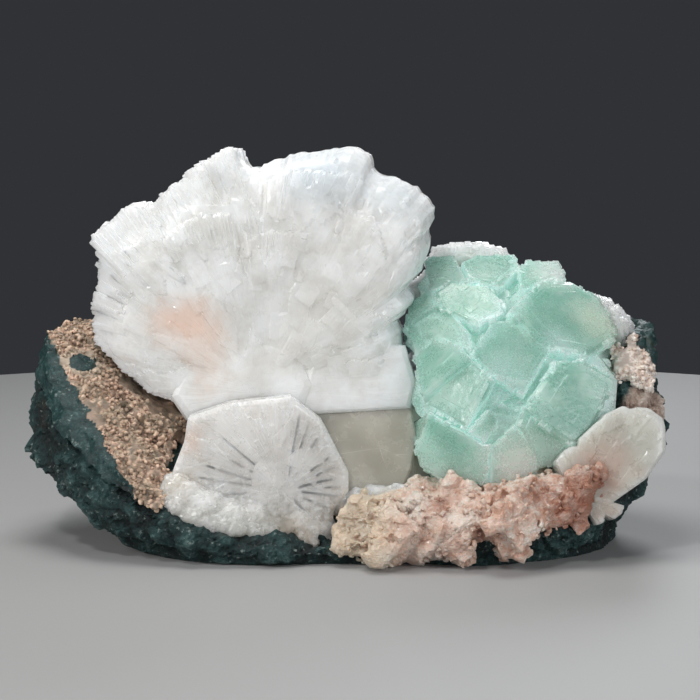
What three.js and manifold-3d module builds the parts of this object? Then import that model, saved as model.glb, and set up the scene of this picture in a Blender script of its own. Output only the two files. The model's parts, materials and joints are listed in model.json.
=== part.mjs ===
// A hand specimen of zeolite minerals, in millimetres, +Z up, seen from the front along +Y.
// A lump of dark green basalt, sawn flat underneath, has a hollow in its top. Brown druse and a pink
// crystalline crust line the hollow. A tall sheaf of white stilbite blades stands in its middle with a
// smaller one in front, and a cluster of blocky green apophyllite crystals grows on its right.
// The origin is the middle of the flat underside.
import * as THREE from "three";
import { ConvexGeometry } from "three/addons/geometries/ConvexGeometry.js";
import { ImprovedNoise } from "three/addons/math/ImprovedNoise.js";
import { mergeVertices } from "three/addons/utils/BufferGeometryUtils.js";
import Module from "manifold-3d";

const wasm = await Module();
wasm.setup();

const DEGREE = Math.PI / 180;
const SEAM = 0.35; // clearance between one mineral and the next
const WELD = 1e-3; // vertices closer than this are one vertex

// ---------------------------------------------------------------- driving dimensions

const ROCK = {
  middle: [0, 4], // plan middle of the hollow
  hollow: 15, // height of the hollow's floor
  sink: 4, // how far the rough underside reached below the saw cut
  crestAt: 0.92, // the crest's radius as a share of the rim's
  waist: 0.55, // height of the widest girth as a share of the crest's
  lump: 2.6, // height of the large lumps
  lumpSize: 15,
  grain: 0.9, // height of the small lumps
  grainSize: 5.5,
  sectors: 40,
  rings: 16,
  // Radii of the rim and of the foot and heights of the crest, every 30 degrees from +X towards +Y.
  rim: [79, 66, 50, 44, 50, 68, 81, 68, 47, 40, 46, 68],
  foot: [62, 52, 38, 34, 36, 46, 50, 50, 40, 35, 42, 56],
  crest: [49, 50, 47, 42, 43, 46, 46, 20, 7, 5, 8, 17],
};

const BLADE_ROOT = 1.2; // half width of a blade at its root
const BLADE_TAIL = 3; // how far a blade reaches back past its root
const BLADE_BEVEL = 0.55; // how far out the bevels of a blade's end meet

// Each sheaf is a fan of blades about its root, in ranks one behind another. A row of blades holds
// a blade's angle and half width in degrees, from +X towards +Z, and its length.
// A rank is its depth, the share of the blades' lengths that it has and the angles that it spans.
const SHEAF_MAIN = {
  root: [-22.2, 3, 38],
  turn: -3,
  lean: -3,
  fold: 3,
  half: 5,
  flare: 5,
  seed: 11,
  blades: [
    [-148, 28, 25], [-95, 30, 28], [-40, 28, 27],
    [1, 9, 37], [14, 7.5, 36.5], [25, 6.5, 38], [33, 5.5, 44], [41, 5, 55.5], [49, 5, 61.5],
    [57, 5.5, 61], [68, 5.5, 63], [76, 5.5, 59.5], [84, 5, 56], [91.5, 4.5, 53], [98.5, 4, 59.5],
    [104, 5, 58], [113, 5.5, 54.5], [121, 6, 52], [130, 5.5, 55], [139, 5.5, 55.5],
    [149.5, 6, 47], [160.5, 6.5, 44], [172, 8, 36], [186, 10, 30],
  ],
  ranks: [
    { depth: 0.5, share: 1, span: [-170, 190] },
    { depth: -7.5, share: 0.95, span: [126, 190] },
    { depth: -5.5, share: 0.62, span: [60, 125], every: 2 },
    { depth: -3, share: 0.94, span: [60, 125], every: 2 },
    { depth: -6.5, share: 0.94, span: [-30, 60] },
    { depth: 9, share: 0.93, span: [20, 165], every: 2 },
  ],
};

const SHEAF_FRONT = {
  root: [-20, -24, 24.4],
  turn: 2,
  lean: -6,
  fold: 16,
  half: 4,
  flare: 3,
  seed: 23,
  blades: [
    [-178, 9, 24], [-162, 9, 27], [-144, 10, 23.5], [-126, 10, 21], [-104, 13, 16.5], [-80, 12, 17.5],
    [-62, 8, 25.5], [-48, 8, 27], [-32, 9.5, 23.5], [-14, 10, 21.5], [5, 11, 19.5], [30, 14, 17.5],
    [60, 15, 17], [98, 18, 17], [125, 12, 20.5], [147, 12, 24.5], [167, 11, 23.5],
  ],
  ranks: [
    { depth: 0, share: 1, span: [-180, 180] },
    { depth: 5.5, share: 0.9, span: [-180, 180], every: 3 },
  ],
};

const SHEAF_BACK = {
  root: [29.5, 22, 47.5],
  turn: 10,
  lean: 4,
  fold: 0,
  half: 6,
  flare: 4,
  seed: 31,
  blades: [
    [-120, 34, 15], [-50, 34, 15], [8, 20, 16], [35, 13, 18], [56, 12, 23.5], [78, 13, 25],
    [101, 13, 25], [128, 15, 20], [165, 22, 15],
  ],
  ranks: [{ depth: 0, share: 1, span: [-180, 180] }],
};

const SHEAF_RIGHT = {
  root: [57, 10, 40.5],
  turn: -20,
  lean: 4,
  fold: 0,
  half: 5,
  flare: 4,
  seed: 37,
  blades: [
    [-50, 28, 13], [5, 17, 15], [30, 12, 17.5], [52, 12, 20.5], [72, 12, 20.5], [100, 18, 13],
  ],
  ranks: [{ depth: 0, share: 1, span: [-180, 180] }],
};

const SHEAF_TAN = {
  root: [54.1, -26, 14.7],
  turn: 8,
  lean: -16,
  fold: -6,
  half: 4.5,
  flare: 3,
  seed: 41,
  blades: [
    [-45, 20, 8], [-14, 15, 11], [9, 9, 18], [22, 7, 23.5], [33, 7, 26.5], [45, 7.5, 27], [58, 8, 23.5],
    [73, 9, 18], [98, 18, 11],
  ],
  ranks: [{ depth: 0, share: 1, span: [-180, 180] }],
};

// The flat crystal seen between the front sheaf and the green cluster.
const PLATE = {
  at: [4.5, -8, 23.4],
  turn: 4,
  lean: -16,
  halfWidth: 15,
  halfHeight: 15.5,
  halfDepth: 5,
  shoulder: 0.72, // where the bevelled top corners start, as a share of the half sizes
};

// Apophyllite: a tetragonal prism with a flat end and a pyramid face across each corner.
// tip is the middle of the flat end, half the half width, long the length behind the tip, aim the
// direction of the long axis, spin its turn about that axis and cut the share of the flat end's
// corners that the pyramid faces take.
const APOPHYLLITE_PYRAMID = 60.4 * DEGREE; // between a pyramid face and the flat end
const APOPHYLLITE = [
  { tip: [41, -8, 47], half: 17, long: 34, aim: [0.05, -0.6, 0.75], spin: 20, cut: 0.3 },
  { tip: [22.7, 8, 66], half: 6.5, long: 16, aim: [-0.3, -0.4, 0.85], spin: 8, cut: 0.4 },
  { tip: [35.5, 8, 66.5], half: 8.3, long: 20, aim: [0.08, -0.45, 0.88], spin: 42, cut: 0.45 },
  { tip: [48.5, 9, 66.5], half: 6, long: 16, aim: [0.25, -0.3, 0.9], spin: 12, cut: 0.5 },
  { tip: [29.8, -2, 60], half: 9.4, long: 20, aim: [-0.1, -0.68, 0.74], spin: 40, cut: 0.3 },
  { tip: [20.5, -4, 54.5], half: 8.6, long: 20, aim: [-0.5, -0.72, 0.5], spin: 18, cut: 0.34 },
  { tip: [50.4, -4, 58], half: 11.8, long: 24, aim: [0.16, -0.62, 0.78], spin: 14, cut: 0.36 },
  { tip: [61.2, -1, 51.5], half: 8.4, long: 20, aim: [0.6, -0.55, 0.58], spin: 34, cut: 0.4 },
  { tip: [40.3, -14, 49.4], half: 9.6, long: 18, aim: [0.02, -0.84, 0.54], spin: 30, cut: 0.32 },
  { tip: [25, -10, 48.5], half: 8, long: 18, aim: [-0.4, -0.78, 0.5], spin: 4, cut: 0.3 },
  { tip: [25.3, -18, 39.2], half: 10.2, long: 20, aim: [-0.28, -0.9, 0.34], spin: 22, cut: 0.28 },
  { tip: [55, -18, 39.2], half: 11.2, long: 22, aim: [0.26, -0.9, 0.36], spin: 4, cut: 0.26 },
  { tip: [37.4, -15, 38.4], half: 6, long: 14, aim: [0.2, -0.86, 0.4], spin: 38, cut: 0.3 },
  { tip: [23.8, -24.5, 27.2], half: 9.6, long: 18, aim: [-0.28, -0.95, 0.02], spin: 20, cut: 0.5 },
  { tip: [38.6, -25.5, 28.4], half: 8.8, long: 16, aim: [0.04, -0.98, 0.1], spin: 38, cut: 0.5 },
  { tip: [52, -23, 30.5], half: 9, long: 18, aim: [0.32, -0.93, 0.06], spin: 12, cut: 0.44 },
];

// Crusts on the rock. turn is the range of azimuth in degrees, down the range of the way from the
// middle of the hollow (0) over the crest and round to the middle of the underside (1).
const DRUSE_LEFT = { turn: [158, 219], down: [0.2, 0.41], thick: 4, edge: 1.4, across: 11, along: 8 };
const DRUSE_RIGHT = { turn: [-10, 25], down: [0.23, 0.41], thick: 3.6, edge: 1.6, across: 10, along: 8 };
const CRUST_PINK = { turn: [264, 342], down: [0.19, 0.46], thick: 5.5, edge: 2, across: 11, along: 6 };
const CRUST_SINK = 2.5; // how far a crust is modelled below the rock's surface before it is fitted
const BLOCK_LIFT = 1.2; // how far the middles of the crystals in the pink crust stand off the rock
const CRUST_LUMP = 1.7; // height of the lumps on a crust
const CRUST_LUMP_SIZE = 6;
// Where a flake of the left druse has come off and the green rock shows.
const BARE_PATCH = { at: [-65.5, -2, 50], half: [4.2, 9, 3.4] };

// Angular crystals that stand out of the pink crust: [azimuth, way down, half size].
const CRUST_BLOCKS = [
  [276, 0.33, 5.5], [286, 0.36, 6], [294, 0.31, 6], [301, 0.38, 6], [309, 0.33, 6.5], [316, 0.39, 6],
  [322, 0.33, 6.5], [330, 0.39, 6], [338, 0.38, 5.5],
];

// ---------------------------------------------------------------- helpers

const noise = new ImprovedNoise();

/** A repeatable chain of random numbers from 0 to 1. */
function randomChain(seed) {
  let state = seed;
  return () => {
    state = (state * 16807) % 2147483647;
    return (state - 1) / 2147483646;
  };
}

/** Smooth value at an azimuth in radians, of sizes given at even steps round the compass. */
function around(sizes, azimuth) {
  const count = sizes.length;
  const place = (((azimuth / (2 * Math.PI)) % 1) + 1) % 1 * count;
  const [i, share] = [Math.floor(place), place - Math.floor(place)];
  const at = (k) => sizes[(i + k + count) % count];
  const points = [-1, 0, 1, 2].map((k) => at(k));
  const [a, b, c, d] = points;
  return b + 0.5 * share * (c - a + share * (2 * a - 5 * b + 4 * c - d + share * (3 * (b - c) + d - a)));
}

/** The closed solid that a geometry bounds. */
function solidFrom(geometry) {
  const bare = geometry.clone();
  bare.deleteAttribute("normal");
  bare.deleteAttribute("uv");
  const welded = mergeVertices(bare, WELD);
  return new wasm.Manifold(
    new wasm.Mesh({
      numProp: 3,
      vertProperties: welded.attributes.position.array,
      triVerts: new Uint32Array(welded.index.array),
    }),
  );
}

/** A solid's surface as a flat-shaded geometry. */
function geometryOf(solid) {
  const mesh = solid.getMesh();
  const geometry = new THREE.BufferGeometry();
  geometry.setAttribute("position", new THREE.BufferAttribute(new Float32Array(mesh.vertProperties), 3));
  geometry.setIndex(new THREE.BufferAttribute(new Uint32Array(mesh.triVerts), 1));
  geometry.computeVertexNormals();
  return geometry;
}

const joined = (solids) => solids.reduce((whole, next) => whole.add(next));

/** The solid's largest body, without the crumbs that a cut leaves. */
function largestBody(solid) {
  return solid.decompose().sort((a, b) => b.volume() - a.volume())[0];
}

/** The convex solid bounded by planes, each [x, y, z, distance] in its own frame, pushed out by grow. */
function polyhedron(planes, frame, grow) {
  const sides = planes.map(([x, y, z, distance]) => {
    const normal = new THREE.Vector3(x, y, z);
    const length = normal.length();
    return { normal: normal.divideScalar(length), reach: distance / length + grow };
  });
  const corners = [];
  sides.forEach((a, i) =>
    sides.slice(i + 1).forEach((b, j) =>
      sides.slice(i + j + 2).forEach((c) => {
        const across = b.normal.clone().cross(c.normal);
        const turn = a.normal.dot(across);
        if (Math.abs(turn) < 1e-5) return;
        const point = across
          .multiplyScalar(a.reach)
          .addScaledVector(c.normal.clone().cross(a.normal), b.reach)
          .addScaledVector(a.normal.clone().cross(b.normal), c.reach)
          .divideScalar(turn);
        const inside = sides.every((side) => side.normal.dot(point) < side.reach + 1e-5);
        if (inside && corners.every((corner) => corner.distanceTo(point) > 0.02)) corners.push(point);
      }),
    ),
  );
  return solidFrom(new ConvexGeometry(corners.map((corner) => corner.applyMatrix4(frame))));
}

// ---------------------------------------------------------------- basalt

/** A point of the rock's smooth form: azimuth in radians, way from 0 (hollow) to 1 (underside). */
function rockForm(azimuth, way) {
  const rim = around(ROCK.rim, azimuth);
  const foot = around(ROCK.foot, azimuth);
  const crest = around(ROCK.crest, azimuth);
  const profile = new THREE.SplineCurve([
    new THREE.Vector2(0, ROCK.hollow),
    new THREE.Vector2(0.3 * rim, THREE.MathUtils.lerp(ROCK.hollow, crest, 0.12)),
    new THREE.Vector2(0.6 * rim, THREE.MathUtils.lerp(ROCK.hollow, crest, 0.58)),
    new THREE.Vector2(ROCK.crestAt * rim, crest),
    new THREE.Vector2(rim, ROCK.waist * crest),
    new THREE.Vector2(THREE.MathUtils.lerp(foot, rim, 0.5), 0.22 * crest - 1),
    new THREE.Vector2(foot, -ROCK.sink),
    new THREE.Vector2(0.5 * foot, -ROCK.sink - 1),
    new THREE.Vector2(0, -ROCK.sink - 1),
  ]);
  const { x: radius, y: height } = profile.getPoint(way);
  return new THREE.Vector3(
    ROCK.middle[0] + radius * Math.cos(azimuth),
    ROCK.middle[1] + radius * Math.sin(azimuth),
    height,
  );
}

/** How far the lumps lift the rock's surface at a point. */
function lumpsAt(point) {
  const sample = (size, shift) => noise.noise(point.x / size + shift, point.y / size, point.z / size + shift);
  return ROCK.lump * sample(ROCK.lumpSize, 3.7) + ROCK.grain * sample(ROCK.grainSize, 9.1);
}

/** The direction out of the rock's smooth form. */
function rockNormal(azimuth, way) {
  const nudge = 1e-3;
  const here = rockForm(azimuth, way);
  const outwards = rockForm(azimuth, way + nudge).sub(here);
  const sideways = rockForm(azimuth + nudge, way).sub(here);
  return outwards.cross(sideways).normalize();
}

/** All that lies under the flat underside. */
function below(grow = 0) {
  return solidFrom(new THREE.BoxGeometry(300, 300, 40).translate(0, 0, -20 - grow));
}

/** The basalt, its surface pushed out by grow and its underside cut flat at height 0. */
function rock(grow = 0) {
  const geometry = new THREE.SphereGeometry(1, ROCK.sectors, ROCK.rings);
  const vertices = geometry.getAttribute("position");
  const point = new THREE.Vector3();
  for (let i = 0; i < vertices.count; i++) {
    point.fromBufferAttribute(vertices, i);
    const way = Math.acos(THREE.MathUtils.clamp(point.y, -1, 1)) / Math.PI;
    const atPole = Math.abs(point.y) > 1 - 1e-6;
    const azimuth = atPole ? 0 : Math.atan2(point.z, -point.x);
    const surface = rockForm(azimuth, way);
    const normal = atPole ? new THREE.Vector3(0, 0, Math.sign(point.y)) : rockNormal(azimuth, way);
    surface.addScaledVector(normal, lumpsAt(surface) + grow);
    vertices.setXYZ(i, surface.x, surface.y, surface.z);
  }
  return solidFrom(geometry).subtract(below(grow));
}

// ---------------------------------------------------------------- crusts

/** A layer on the rock over a range of azimuth and way down, thinner at its edges. */
function crust({ turn, down, thick, edge, across, along: rows }, grow = 0) {
  const geometry = new THREE.BoxGeometry(1, 1, 1, across, rows, 1);
  const vertices = geometry.getAttribute("position");
  for (let i = 0; i < vertices.count; i++) {
    const [u, v] = [vertices.getX(i) + 0.5, vertices.getY(i) + 0.5];
    const frayed = 0.06 * noise.noise(u * 5, v * 5, thick);
    const azimuth = THREE.MathUtils.lerp(turn[0], turn[1], u + frayed) * DEGREE;
    const way = THREE.MathUtils.lerp(down[1], down[0], v + frayed);
    const surface = rockForm(azimuth, way);
    const fromEdge = Math.min(u, 1 - u, v, 1 - v);
    const full = THREE.MathUtils.smoothstep(fromEdge, 0, 0.16);
    const { x, y, z } = surface.clone().divideScalar(CRUST_LUMP_SIZE);
    const lump = noise.noise(x, y, z);
    const lift = THREE.MathUtils.lerp(edge, thick + CRUST_LUMP * lump, full) + grow;
    const out = vertices.getZ(i) > 0 ? lumpsAt(surface) + lift : -CRUST_SINK;
    surface.addScaledVector(rockNormal(azimuth, way), out);
    vertices.setXYZ(i, surface.x, surface.y, surface.z);
  }
  return solidFrom(geometry);
}

/** One angular crystal of the pink crust. */
function crustBlock([azimuth, way, half], index, grow) {
  const random = randomChain(100 + index);
  const at = rockForm(azimuth * DEGREE, way).addScaledVector(rockNormal(azimuth * DEGREE, way), BLOCK_LIFT);
  const spin = new THREE.Euler(random() * 3, random() * 3, random() * 3);
  const frame = new THREE.Matrix4().makeRotationFromEuler(spin).setPosition(at);
  const size = () => half * (0.75 + 0.5 * random());
  const planes = [
    [1, 0, 0, size()], [-1, 0, 0, size()], [0, 1, 0, size()], [0, -1, 0, size()],
    [0, 0, 1, size()], [0, 0, -1, size()], [1, 1, 0.6, 1.45 * half], [-1, 1, -0.6, 1.5 * half],
  ];
  return polyhedron(planes, frame, grow);
}

// ---------------------------------------------------------------- stilbite

/** The frame of a sheaf's fan, whose own x and z span the fan and whose y is its depth. */
function fanFrame({ root, turn, lean }) {
  const frame = new THREE.Matrix4().makeRotationZ(turn * DEGREE);
  frame.multiply(new THREE.Matrix4().makeRotationX(lean * DEGREE));
  return frame.setPosition(...root);
}

/** One blade: a wedge that widens away from the root and ends in a blunt point. */
function blade(sheafFrame, { angle, halfAngle, reach, depth, half, flare, back, skew }, grow) {
  const frame = sheafFrame.clone();
  frame.multiply(new THREE.Matrix4().makeTranslation(0, depth, 0));
  frame.multiply(new THREE.Matrix4().makeRotationY(-angle * DEGREE));
  frame.multiply(new THREE.Matrix4().makeRotationZ(back * DEGREE));
  const [sideX, sideZ] = [Math.sin(halfAngle * DEGREE), Math.cos(halfAngle * DEGREE)];
  const [faceX, faceY] = [Math.sin(flare * DEGREE), Math.cos(flare * DEGREE)];
  const bevel = BLADE_BEVEL * reach * Math.tan(halfAngle * DEGREE);
  const planes = [
    [-sideX, 0, sideZ, BLADE_ROOT],
    [-sideX, 0, -sideZ, BLADE_ROOT],
    [-faceX, faceY, 0, half],
    [-faceX, -faceY, 0, half],
    [-1, 0, 0, BLADE_TAIL],
    [1, 0, skew, reach],
    [1, 0, 0.9, reach + bevel],
    [1, 0, -0.9, reach + bevel],
  ];
  return polyhedron(planes, frame, grow);
}

/** A sheaf of blades, pushed out by grow. */
function sheaf(spec, grow = 0) {
  const random = randomChain(spec.seed);
  const jitter = (size) => size * (2 * random() - 1);
  const frame = fanFrame(spec);
  const blades = [];
  for (const { depth, share, span, every = 1 } of spec.ranks) {
    for (const [i, [angle, halfAngle, length]] of spec.blades.entries()) {
      if (angle < span[0] || angle > span[1] || i % every) continue;
      const shape = {
        angle: angle + jitter(0.6),
        halfAngle: halfAngle * every,
        reach: length * share,
        depth: depth + jitter(0.6),
        half: spec.half * (1 + jitter(0.1)),
        flare: 0.5 * spec.flare * (1 + jitter(0.3)),
        back:
          spec.fold * Math.abs(Math.cos(angle * DEGREE)) +
          0.25 * spec.flare * Math.sign(depth) +
          jitter(1),
        skew: jitter(0.2),
      };
      blades.push(blade(frame, shape, grow));
    }
  }
  return joined(blades);
}

/** The flat crystal between the sheaves. */
function plate(grow = 0) {
  const { halfWidth: w, halfHeight: h, halfDepth: d, shoulder } = PLATE;
  const frame = fanFrame({ root: PLATE.at, turn: PLATE.turn, lean: PLATE.lean });
  const planes = [
    [1, 0, 0, w], [-1, 0, 0, w], [0, 1, 0, d], [0, -1, 0, d], [0, 0, 1, h], [0, 0, -1, h],
    [1, 0, 1, (w + h) * 0.5 * (1 + shoulder)], [-1, 0, 1.6, (w + 1.6 * h) * 0.5 * (1.05 + shoulder)],
    [0, -1, 1, 0.85 * (d + h)], [0.9, -1, 0, 0.8 * (d + 0.9 * w)],
  ];
  return polyhedron(planes, frame, grow);
}

// ---------------------------------------------------------------- apophyllite

/** One apophyllite crystal, pushed out by grow. */
function apophylliteCrystal({ tip, half, long, aim, spin, cut }, grow) {
  const up = new THREE.Vector3(0, 0, 1);
  const rotation = new THREE.Quaternion().setFromUnitVectors(up, new THREE.Vector3(...aim).normalize());
  rotation.multiply(new THREE.Quaternion().setFromAxisAngle(up, spin * DEGREE));
  const frame = new THREE.Matrix4().makeRotationFromQuaternion(rotation).setPosition(...tip);
  const slope = Math.sin(APOPHYLLITE_PYRAMID) / Math.SQRT2;
  const rise = Math.cos(APOPHYLLITE_PYRAMID);
  const planes = [[0, 0, 1, 0], [0, 0, -1, long]];
  for (const [x, y] of [[1, 0], [-1, 0], [0, 1], [0, -1]]) planes.push([x, y, 0, half]);
  for (const x of [1, -1]) {
    for (const y of [1, -1]) planes.push([x * slope, y * slope, rise, 2 * slope * half * (1 - cut)]);
  }
  return polyhedron(planes, frame, grow);
}

/** The green cluster, whose crystals have grown into each other. */
function apophyllite(grow = 0) {
  return joined(APOPHYLLITE.map((crystal) => apophylliteCrystal(crystal, grow)));
}

// ---------------------------------------------------------------- specimen

/** The window where a flake of the left druse has come off. */
function barePatch() {
  const patch = new THREE.SphereGeometry(1, 10, 6).scale(...BARE_PATCH.half);
  return solidFrom(patch.translate(...BARE_PATCH.at));
}

/** The pink crust with the crystals that stand out of it. */
function pinkCrust(grow = 0) {
  return joined([crust(CRUST_PINK, grow), ...CRUST_BLOCKS.map((block, i) => crustBlock(block, i, grow))]);
}

/** A mineral by name, its shape as a function of grow, its colour and its roughness. */
const mineral = (name, shape, colour, roughness) => ({
  name,
  solid: shape(0),
  room: shape(SEAM),
  colour,
  roughness,
});
const ofSheaf = (spec) => (grow) => sheaf(spec, grow);
const brokenDruse = (grow) => {
  const whole = crust(DRUSE_LEFT, grow);
  return grow ? whole : whole.subtract(barePatch());
};

// Each mineral gives way to those before it in this list.
const minerals = [
  mineral("apophyllite_cluster", apophyllite, 0x9ccab8, 0.3),
  mineral("stilbite_sheaf_front", ofSheaf(SHEAF_FRONT), 0xd0cbc4, 0.4),
  mineral("stilbite_plate", plate, 0xa8a396, 0.35),
  mineral("druse_left", brokenDruse, 0x8a7363, 0.8),
  mineral("stilbite_sheaf_main", ofSheaf(SHEAF_MAIN), 0xdcdedc, 0.4),
  mineral("stilbite_sheaf_tan", ofSheaf(SHEAF_TAN), 0xb8b4a6, 0.45),
  mineral("stilbite_sheaf_right", ofSheaf(SHEAF_RIGHT), 0xdad6cc, 0.45),
  mineral("stilbite_sheaf_back", ofSheaf(SHEAF_BACK), 0xe4e6e0, 0.45),
  mineral("stilbite_crust_pink", pinkCrust, 0xb48c76, 0.7),
  mineral("druse_right", (grow) => crust(DRUSE_RIGHT, grow), 0xa8917f, 0.8),
];

const specimen = new THREE.Group();

function addPiece(name, solid, colour, roughness) {
  const material = new THREE.MeshStandardMaterial({
    color: colour,
    roughness,
    metalness: 0,
    flatShading: true,
  });
  const mesh = new THREE.Mesh(geometryOf(solid), material);
  mesh.name = name;
  specimen.add(mesh);
}

addPiece("basalt_matrix", rock(), 0x2c4444, 0.9);
let taken = rock(SEAM).add(below());
for (const { name, solid, room, colour, roughness } of minerals) {
  addPiece(name, largestBody(solid.subtract(taken)), colour, roughness);
  taken = taken.add(room);
}

export default specimen;
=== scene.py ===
"""Dresses a specimen of apophyllite and stilbite on basalt.

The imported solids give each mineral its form. Here each one is rebuilt from the crystals it is made
of: thin blades in the stilbite fans, stacked blocks in the green cluster, grains in the druses.
Lengths are in millimetres unless a name says otherwise, and meshes are made in metres.
"""

import json
import logging
import math
import random
from dataclasses import dataclass, field
from enum import Enum
from typing import Any, Iterable, Mapping, Optional, Sequence, Union

import bmesh
import bpy
import numpy as np
from mathutils import Matrix, Vector, noise
from mathutils.bvhtree import BVHTree
from mathutils.kdtree import KDTree

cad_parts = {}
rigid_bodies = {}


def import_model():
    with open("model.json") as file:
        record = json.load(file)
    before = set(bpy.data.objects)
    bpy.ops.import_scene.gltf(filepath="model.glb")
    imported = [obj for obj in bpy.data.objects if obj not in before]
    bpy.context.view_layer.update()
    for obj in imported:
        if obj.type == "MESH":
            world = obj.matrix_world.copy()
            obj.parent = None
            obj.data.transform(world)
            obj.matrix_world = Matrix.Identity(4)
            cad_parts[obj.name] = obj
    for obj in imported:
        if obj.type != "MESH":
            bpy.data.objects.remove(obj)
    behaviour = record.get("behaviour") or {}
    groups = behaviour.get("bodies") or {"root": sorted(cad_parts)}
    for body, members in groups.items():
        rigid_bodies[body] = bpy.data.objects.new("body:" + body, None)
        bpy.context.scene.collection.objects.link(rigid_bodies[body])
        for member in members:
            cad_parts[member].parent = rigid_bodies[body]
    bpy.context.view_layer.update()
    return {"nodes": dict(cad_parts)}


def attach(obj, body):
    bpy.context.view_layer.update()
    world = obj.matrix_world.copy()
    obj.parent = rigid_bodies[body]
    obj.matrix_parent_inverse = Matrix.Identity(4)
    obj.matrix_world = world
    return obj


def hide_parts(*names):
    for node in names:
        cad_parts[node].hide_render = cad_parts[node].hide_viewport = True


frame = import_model()

MM = 0.001
BODY = "root"
NOISE_SEED = 1795515515  # noise vectors change with the clock unless their seed is set
APRON_VOXEL = 0.6
SHARP_EDGE = 42.0
log = logging.getLogger("specimen")

Colour = tuple[float, float, float]
Triple = tuple[float, float, float]


# ---------------------------------------------------------------- shading tools


class MathOp(Enum):
    """The arithmetic that wires use."""

    ADD = "ADD"
    SUBTRACT = "SUBTRACT"
    MULTIPLY = "MULTIPLY"
    DIVIDE = "DIVIDE"
    POWER = "POWER"
    ANGLE = "ARCTAN2"


class VectorOp(Enum):
    """The vector arithmetic that wires use."""

    SCALE = "SCALE"
    SUBTRACT = "SUBTRACT"
    MULTIPLY = "MULTIPLY"
    DOT = "DOT_PRODUCT"
    DISTANCE = "DISTANCE"


class Wire:
    """A socket of a material's graph that takes part in Python expressions."""

    def __init__(self, graph: "Graph", socket: bpy.types.NodeSocket) -> None:
        """Wraps a socket of a graph.

        Args:
            graph: The graph that the socket is in.
            socket: The output socket.
        """
        self.graph = graph
        self.socket = socket

    def _with(self, op: MathOp, *values: "Value") -> "Wire":
        """The result of a Math node on this wire and others."""
        return self.graph.math(op, self, *values)

    def __add__(self, other: "Value") -> "Wire":
        """self + other."""
        return self._with(MathOp.ADD, other)

    def __radd__(self, other: "Value") -> "Wire":
        """other + self."""
        return self._with(MathOp.ADD, other)

    def __sub__(self, other: "Value") -> "Wire":
        """self - other."""
        return self._with(MathOp.SUBTRACT, other)

    def __rsub__(self, other: "Value") -> "Wire":
        """other - self."""
        return self.graph.math(MathOp.SUBTRACT, other, self)

    def __mul__(self, other: "Value") -> "Wire":
        """self * other."""
        return self._with(MathOp.MULTIPLY, other)

    def __rmul__(self, other: "Value") -> "Wire":
        """other * self."""
        return self._with(MathOp.MULTIPLY, other)

    def __truediv__(self, other: "Value") -> "Wire":
        """self / other."""
        return self._with(MathOp.DIVIDE, other)

    def __rtruediv__(self, other: "Value") -> "Wire":
        """other / self."""
        return self.graph.math(MathOp.DIVIDE, other, self)

    def __pow__(self, other: "Value") -> "Wire":
        """self ** other."""
        return self._with(MathOp.POWER, other)


Value = Union[float, Wire]


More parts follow.
